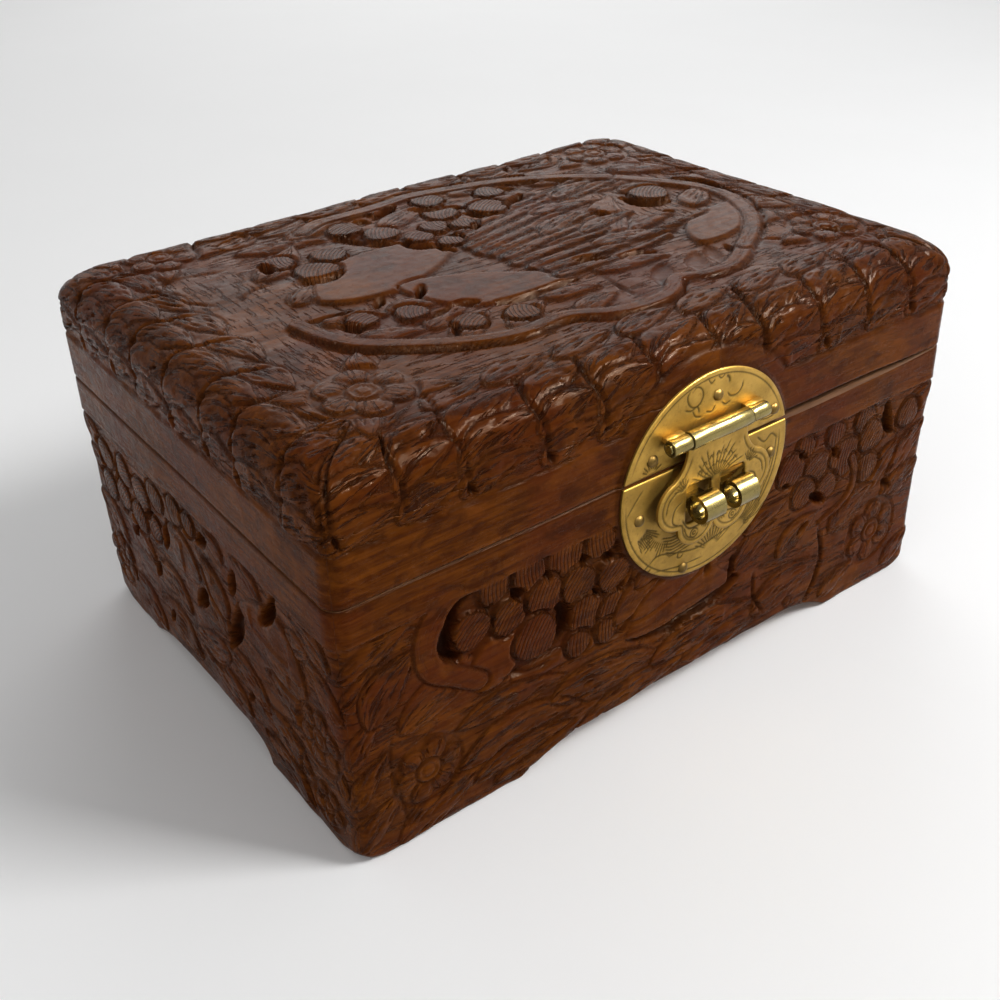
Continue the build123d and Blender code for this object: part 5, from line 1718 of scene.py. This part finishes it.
def window(side):
    """A window of the hasp, which is a little longer than wide."""
    x, y, r = side * WINDOW_X, AXIS_Z - WINDOW_DROP, WINDOW_CORNER
    w, h = WINDOW_HALF
    corners = ((w - r, h - r, 0), (r - w, h - r, 90), (r - w, r - h, 180), (w - r, r - h, 270))
    points = []
    for cx, cy, first in corners:
        points += [(x + cx + r * math.cos(math.radians(first + t)),
                    y + cy + r * math.sin(math.radians(first + t))) for t in range(0, 91, 15)]
    return points


def hasp():
    """The hasp: a sheet with two windows on a long knuckle."""
    outline, holes = hasp_outline(), [window(-1), window(1)]
    sheet = Sheet([outline, *holes])
    # a bead follows the edge, and leaves spread from the middle up to the barrel
    edge = from_edge([outline], sheet.x, sheet.y)
    bead = smooth(0.5, 0.05, np.abs(edge - 1.5)) * smooth(10.5, 8.5, sheet.y)
    sheet.depth = np.maximum(sheet.depth, 0.16 * bead)
    sheet.cut = np.maximum(sheet.cut, 0.8 * bead)
    sheet.fan(0.0, 0.0, 1.0, 11.0, 22, 158, 13, 0.5, 0.5)
    for i in range(7):
        t = math.radians(30 + 20 * i)
        x, y = 7.0 * math.cos(t), 0.4 + 7.0 * math.sin(t)
        sheet.line([(x - 0.7, y - 0.3), (x, y + 0.9), (x + 0.8, y - 0.2)], 0.5)
        x, y = 0.62 * x, 0.62 * y
        sheet.line([(x - 0.6, y), (x, y + 0.8), (x + 0.7, y)], 0.45)
    for side in (-1, 1):
        sheet.fan(side * 11.0, 1.0, 0.4, 4.2, 90 - side * 80, 90 + side * 20, 7)
        for points, width in (
            ([(13.0, 1.8), (16.0, -0.5), (17.0, -4.0)], 0.5),
            ([(11.6, -2.0), (14.0, -3.5), (14.6, -7.0), (12.2, -9.0)], 0.6),
            ([(11.4, -7.5), (9.0, -10.8), (6.0, -11.2), (3.0, -10.6)], 0.6),
            ([(10.6, -10.0), (9.2, -13.2), (6.4, -14.8)], 0.5),
        ):
            sheet.line([(side * x, y) for x, y in points], width)
        sheet.ring(side * 6.9, -13.0, 1.3)
        sheet.ring(side * 6.9, -13.0, 0.5)
        sheet.fan(side * 3.0, -11.4, 0.3, 1.8, 200, 340, 5, 0.4)
    tubes = [tube(0, KNUCKLE_LENGTH, KNUCKLE_RADIUS, BORE_RADIUS, 4.2)]
    brass_piece("engraved_hasp", "hasp", "hasp", sheet, AXIS_Y - HASP_THICKNESS / 2,
                HASP_THICKNESS, tubes)


lower_plate()
upper_plate()
hasp()


# ---- finishes of the pieces that keep their CAD shape ----


def finish_node(node, material):
    """Gives a CAD piece its material."""
    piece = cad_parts[node]
    piece.data.materials.clear()
    piece.data.materials.append(material)


def round_edges(node, width):
    """Softens the edges of a CAD piece a little, as handling does."""
    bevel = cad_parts[node].modifiers.new("soft_edges", "BEVEL")
    bevel.width = width * MM
    bevel.segments = 2
    bevel.limit_method = "ANGLE"
    bevel.angle_limit = math.radians(40)


STAPLES = ["left_staple", "right_staple"]
SMALL_PIECES = ["upper_plate_nails", "lower_plate_nails", "left_hinge_pin", "right_hinge_pin",
                "base_hinge_screws", "lid_hinge_screws"]

finish_node("bottom_board", plain_wood)
for node in [*STAPLES, "hasp_pin"]:
    finish_node(node, polished_brass)
for node in [*SMALL_PIECES, *HINGE_LEAVES]:
    finish_node(node, old_brass)
for node in STAPLES:
    round_edges(node, 0.45)
for node in HINGE_LEAVES:
    round_edges(node, 0.15)


# ---- floor, lights and camera ----


def make_floor():
    """A pale plain floor."""
    half = 6.0
    mesh = bpy.data.meshes.new("floor")
    mesh.from_pydata(
        [(-half, -half, 0), (half, -half, 0), (half, half, 0), (-half, half, 0)], [], [(0, 1, 2, 3)]
    )
    floor = show("floor", mesh)
    n = Nodes("pale_floor")
    tint = n.noise(n.place((0.01, 0.01, 0.01)), 1.0, 2)
    n.set(Base_Color=n.mix(tint, (0.93, 0.93, 0.93), (0.95, 0.95, 0.95)), Roughness=0.9,
          Specular_IOR_Level=0.1)
    mesh.materials.append(n.material)


def make_world():
    """White where it is seen directly or in a reflection, and soft grey as a light."""
    world = bpy.data.worlds.new("studio")
    bpy.context.scene.world = world
    world.use_nodes = True
    tree = world.node_tree
    tree.nodes.clear()
    path = tree.nodes.new("ShaderNodeLightPath")
    seen = tree.nodes.new("ShaderNodeMath")
    seen.operation = "MAXIMUM"
    tree.links.new(path.outputs["Is Camera Ray"], seen.inputs[0])
    tree.links.new(path.outputs["Is Glossy Ray"], seen.inputs[1])
    seen_all = tree.nodes.new("ShaderNodeMath")
    seen_all.operation = "MAXIMUM"
    tree.links.new(seen.outputs[0], seen_all.inputs[0])
    tree.links.new(path.outputs["Is Transmission Ray"], seen_all.inputs[1])
    strength = tree.nodes.new("ShaderNodeMapRange")
    tree.links.new(seen_all.outputs[0], strength.inputs["Value"])
    strength.inputs["To Min"].default_value = 0.36
    strength.inputs["To Max"].default_value = 1.0
    background = tree.nodes.new("ShaderNodeBackground")
    background.inputs["Color"].default_value = (1, 1, 1, 1)
    tree.links.new(strength.outputs[0], background.inputs["Strength"])
    output = tree.nodes.new("ShaderNodeOutputWorld")
    tree.links.new(background.outputs[0], output.inputs[0])


def area_light(name, direction, distance, size, power):
    """A square lamp that looks at the box from a direction."""
    lamp = bpy.data.lights.new(name, "AREA")
    lamp.size = size
    lamp.energy = power
    holder = show(name, lamp)
    away = Vector(direction).normalized()
    holder.location = Vector((0, 0, 0.05)) + away * distance
    holder.rotation_euler = away.to_track_quat("Z", "Y").to_euler()
    return holder


EYE = (-0.1920, -0.25496, 0.23160)
VIEW = (36.46, -30.66, -1.58)  # azimuth, elevation and roll, in degrees
SENSOR, FOCAL_LENGTH = 36.0, 36.0 * 1.237117
SHIFT = (-0.0077, -0.0391)


def make_camera():
    """The photograph's viewpoint: place and direction of view, roll and framing."""
    azimuth, elevation, roll = (math.radians(angle) for angle in VIEW)
    forward = Vector((
        math.sin(azimuth) * math.cos(elevation), math.cos(azimuth) * math.cos(elevation),
        math.sin(elevation),
    ))
    right = forward.cross(Vector((0, 0, 1))).normalized()
    up = right.cross(forward)
    turned_right = right * math.cos(roll) + up * math.sin(roll)
    turned_up = up * math.cos(roll) - right * math.sin(roll)
    data = bpy.data.cameras.new("camera")
    data.sensor_width = SENSOR
    data.lens = FOCAL_LENGTH
    data.shift_x, data.shift_y = SHIFT
    data.clip_start = 0.01
    camera = show("camera", data)
    turn = Matrix((turned_right, turned_up, -forward)).transposed().to_4x4()
    camera.matrix_world = Matrix.Translation(Vector(EYE)) @ turn
    bpy.context.scene.camera = camera


make_floor()
make_world()
area_light("key_light", (0.50, -0.60, 0.75), 1.1, 0.35, 8.5)
area_light("back_light", (0.51, 0.69, 0.51), 1.4, 1.0, 4.5)
area_light("left_light", (-0.85, -0.25, 0.45), 1.3, 0.9, 2.4)
GLINTS = [(0.51, -0.51, 0.69), (0.62, -0.35, 0.70), (0.30, -0.66, 0.62), (-0.2, -0.3, 0.93)]
for direction in GLINTS:  # small lamps that only show in the varnish and the brass
    area_light("sparkle_light", direction, 1.0, 0.022, 8.0).visible_diffuse = False
make_camera()

bpy.context.scene.view_settings.view_transform = "Standard"
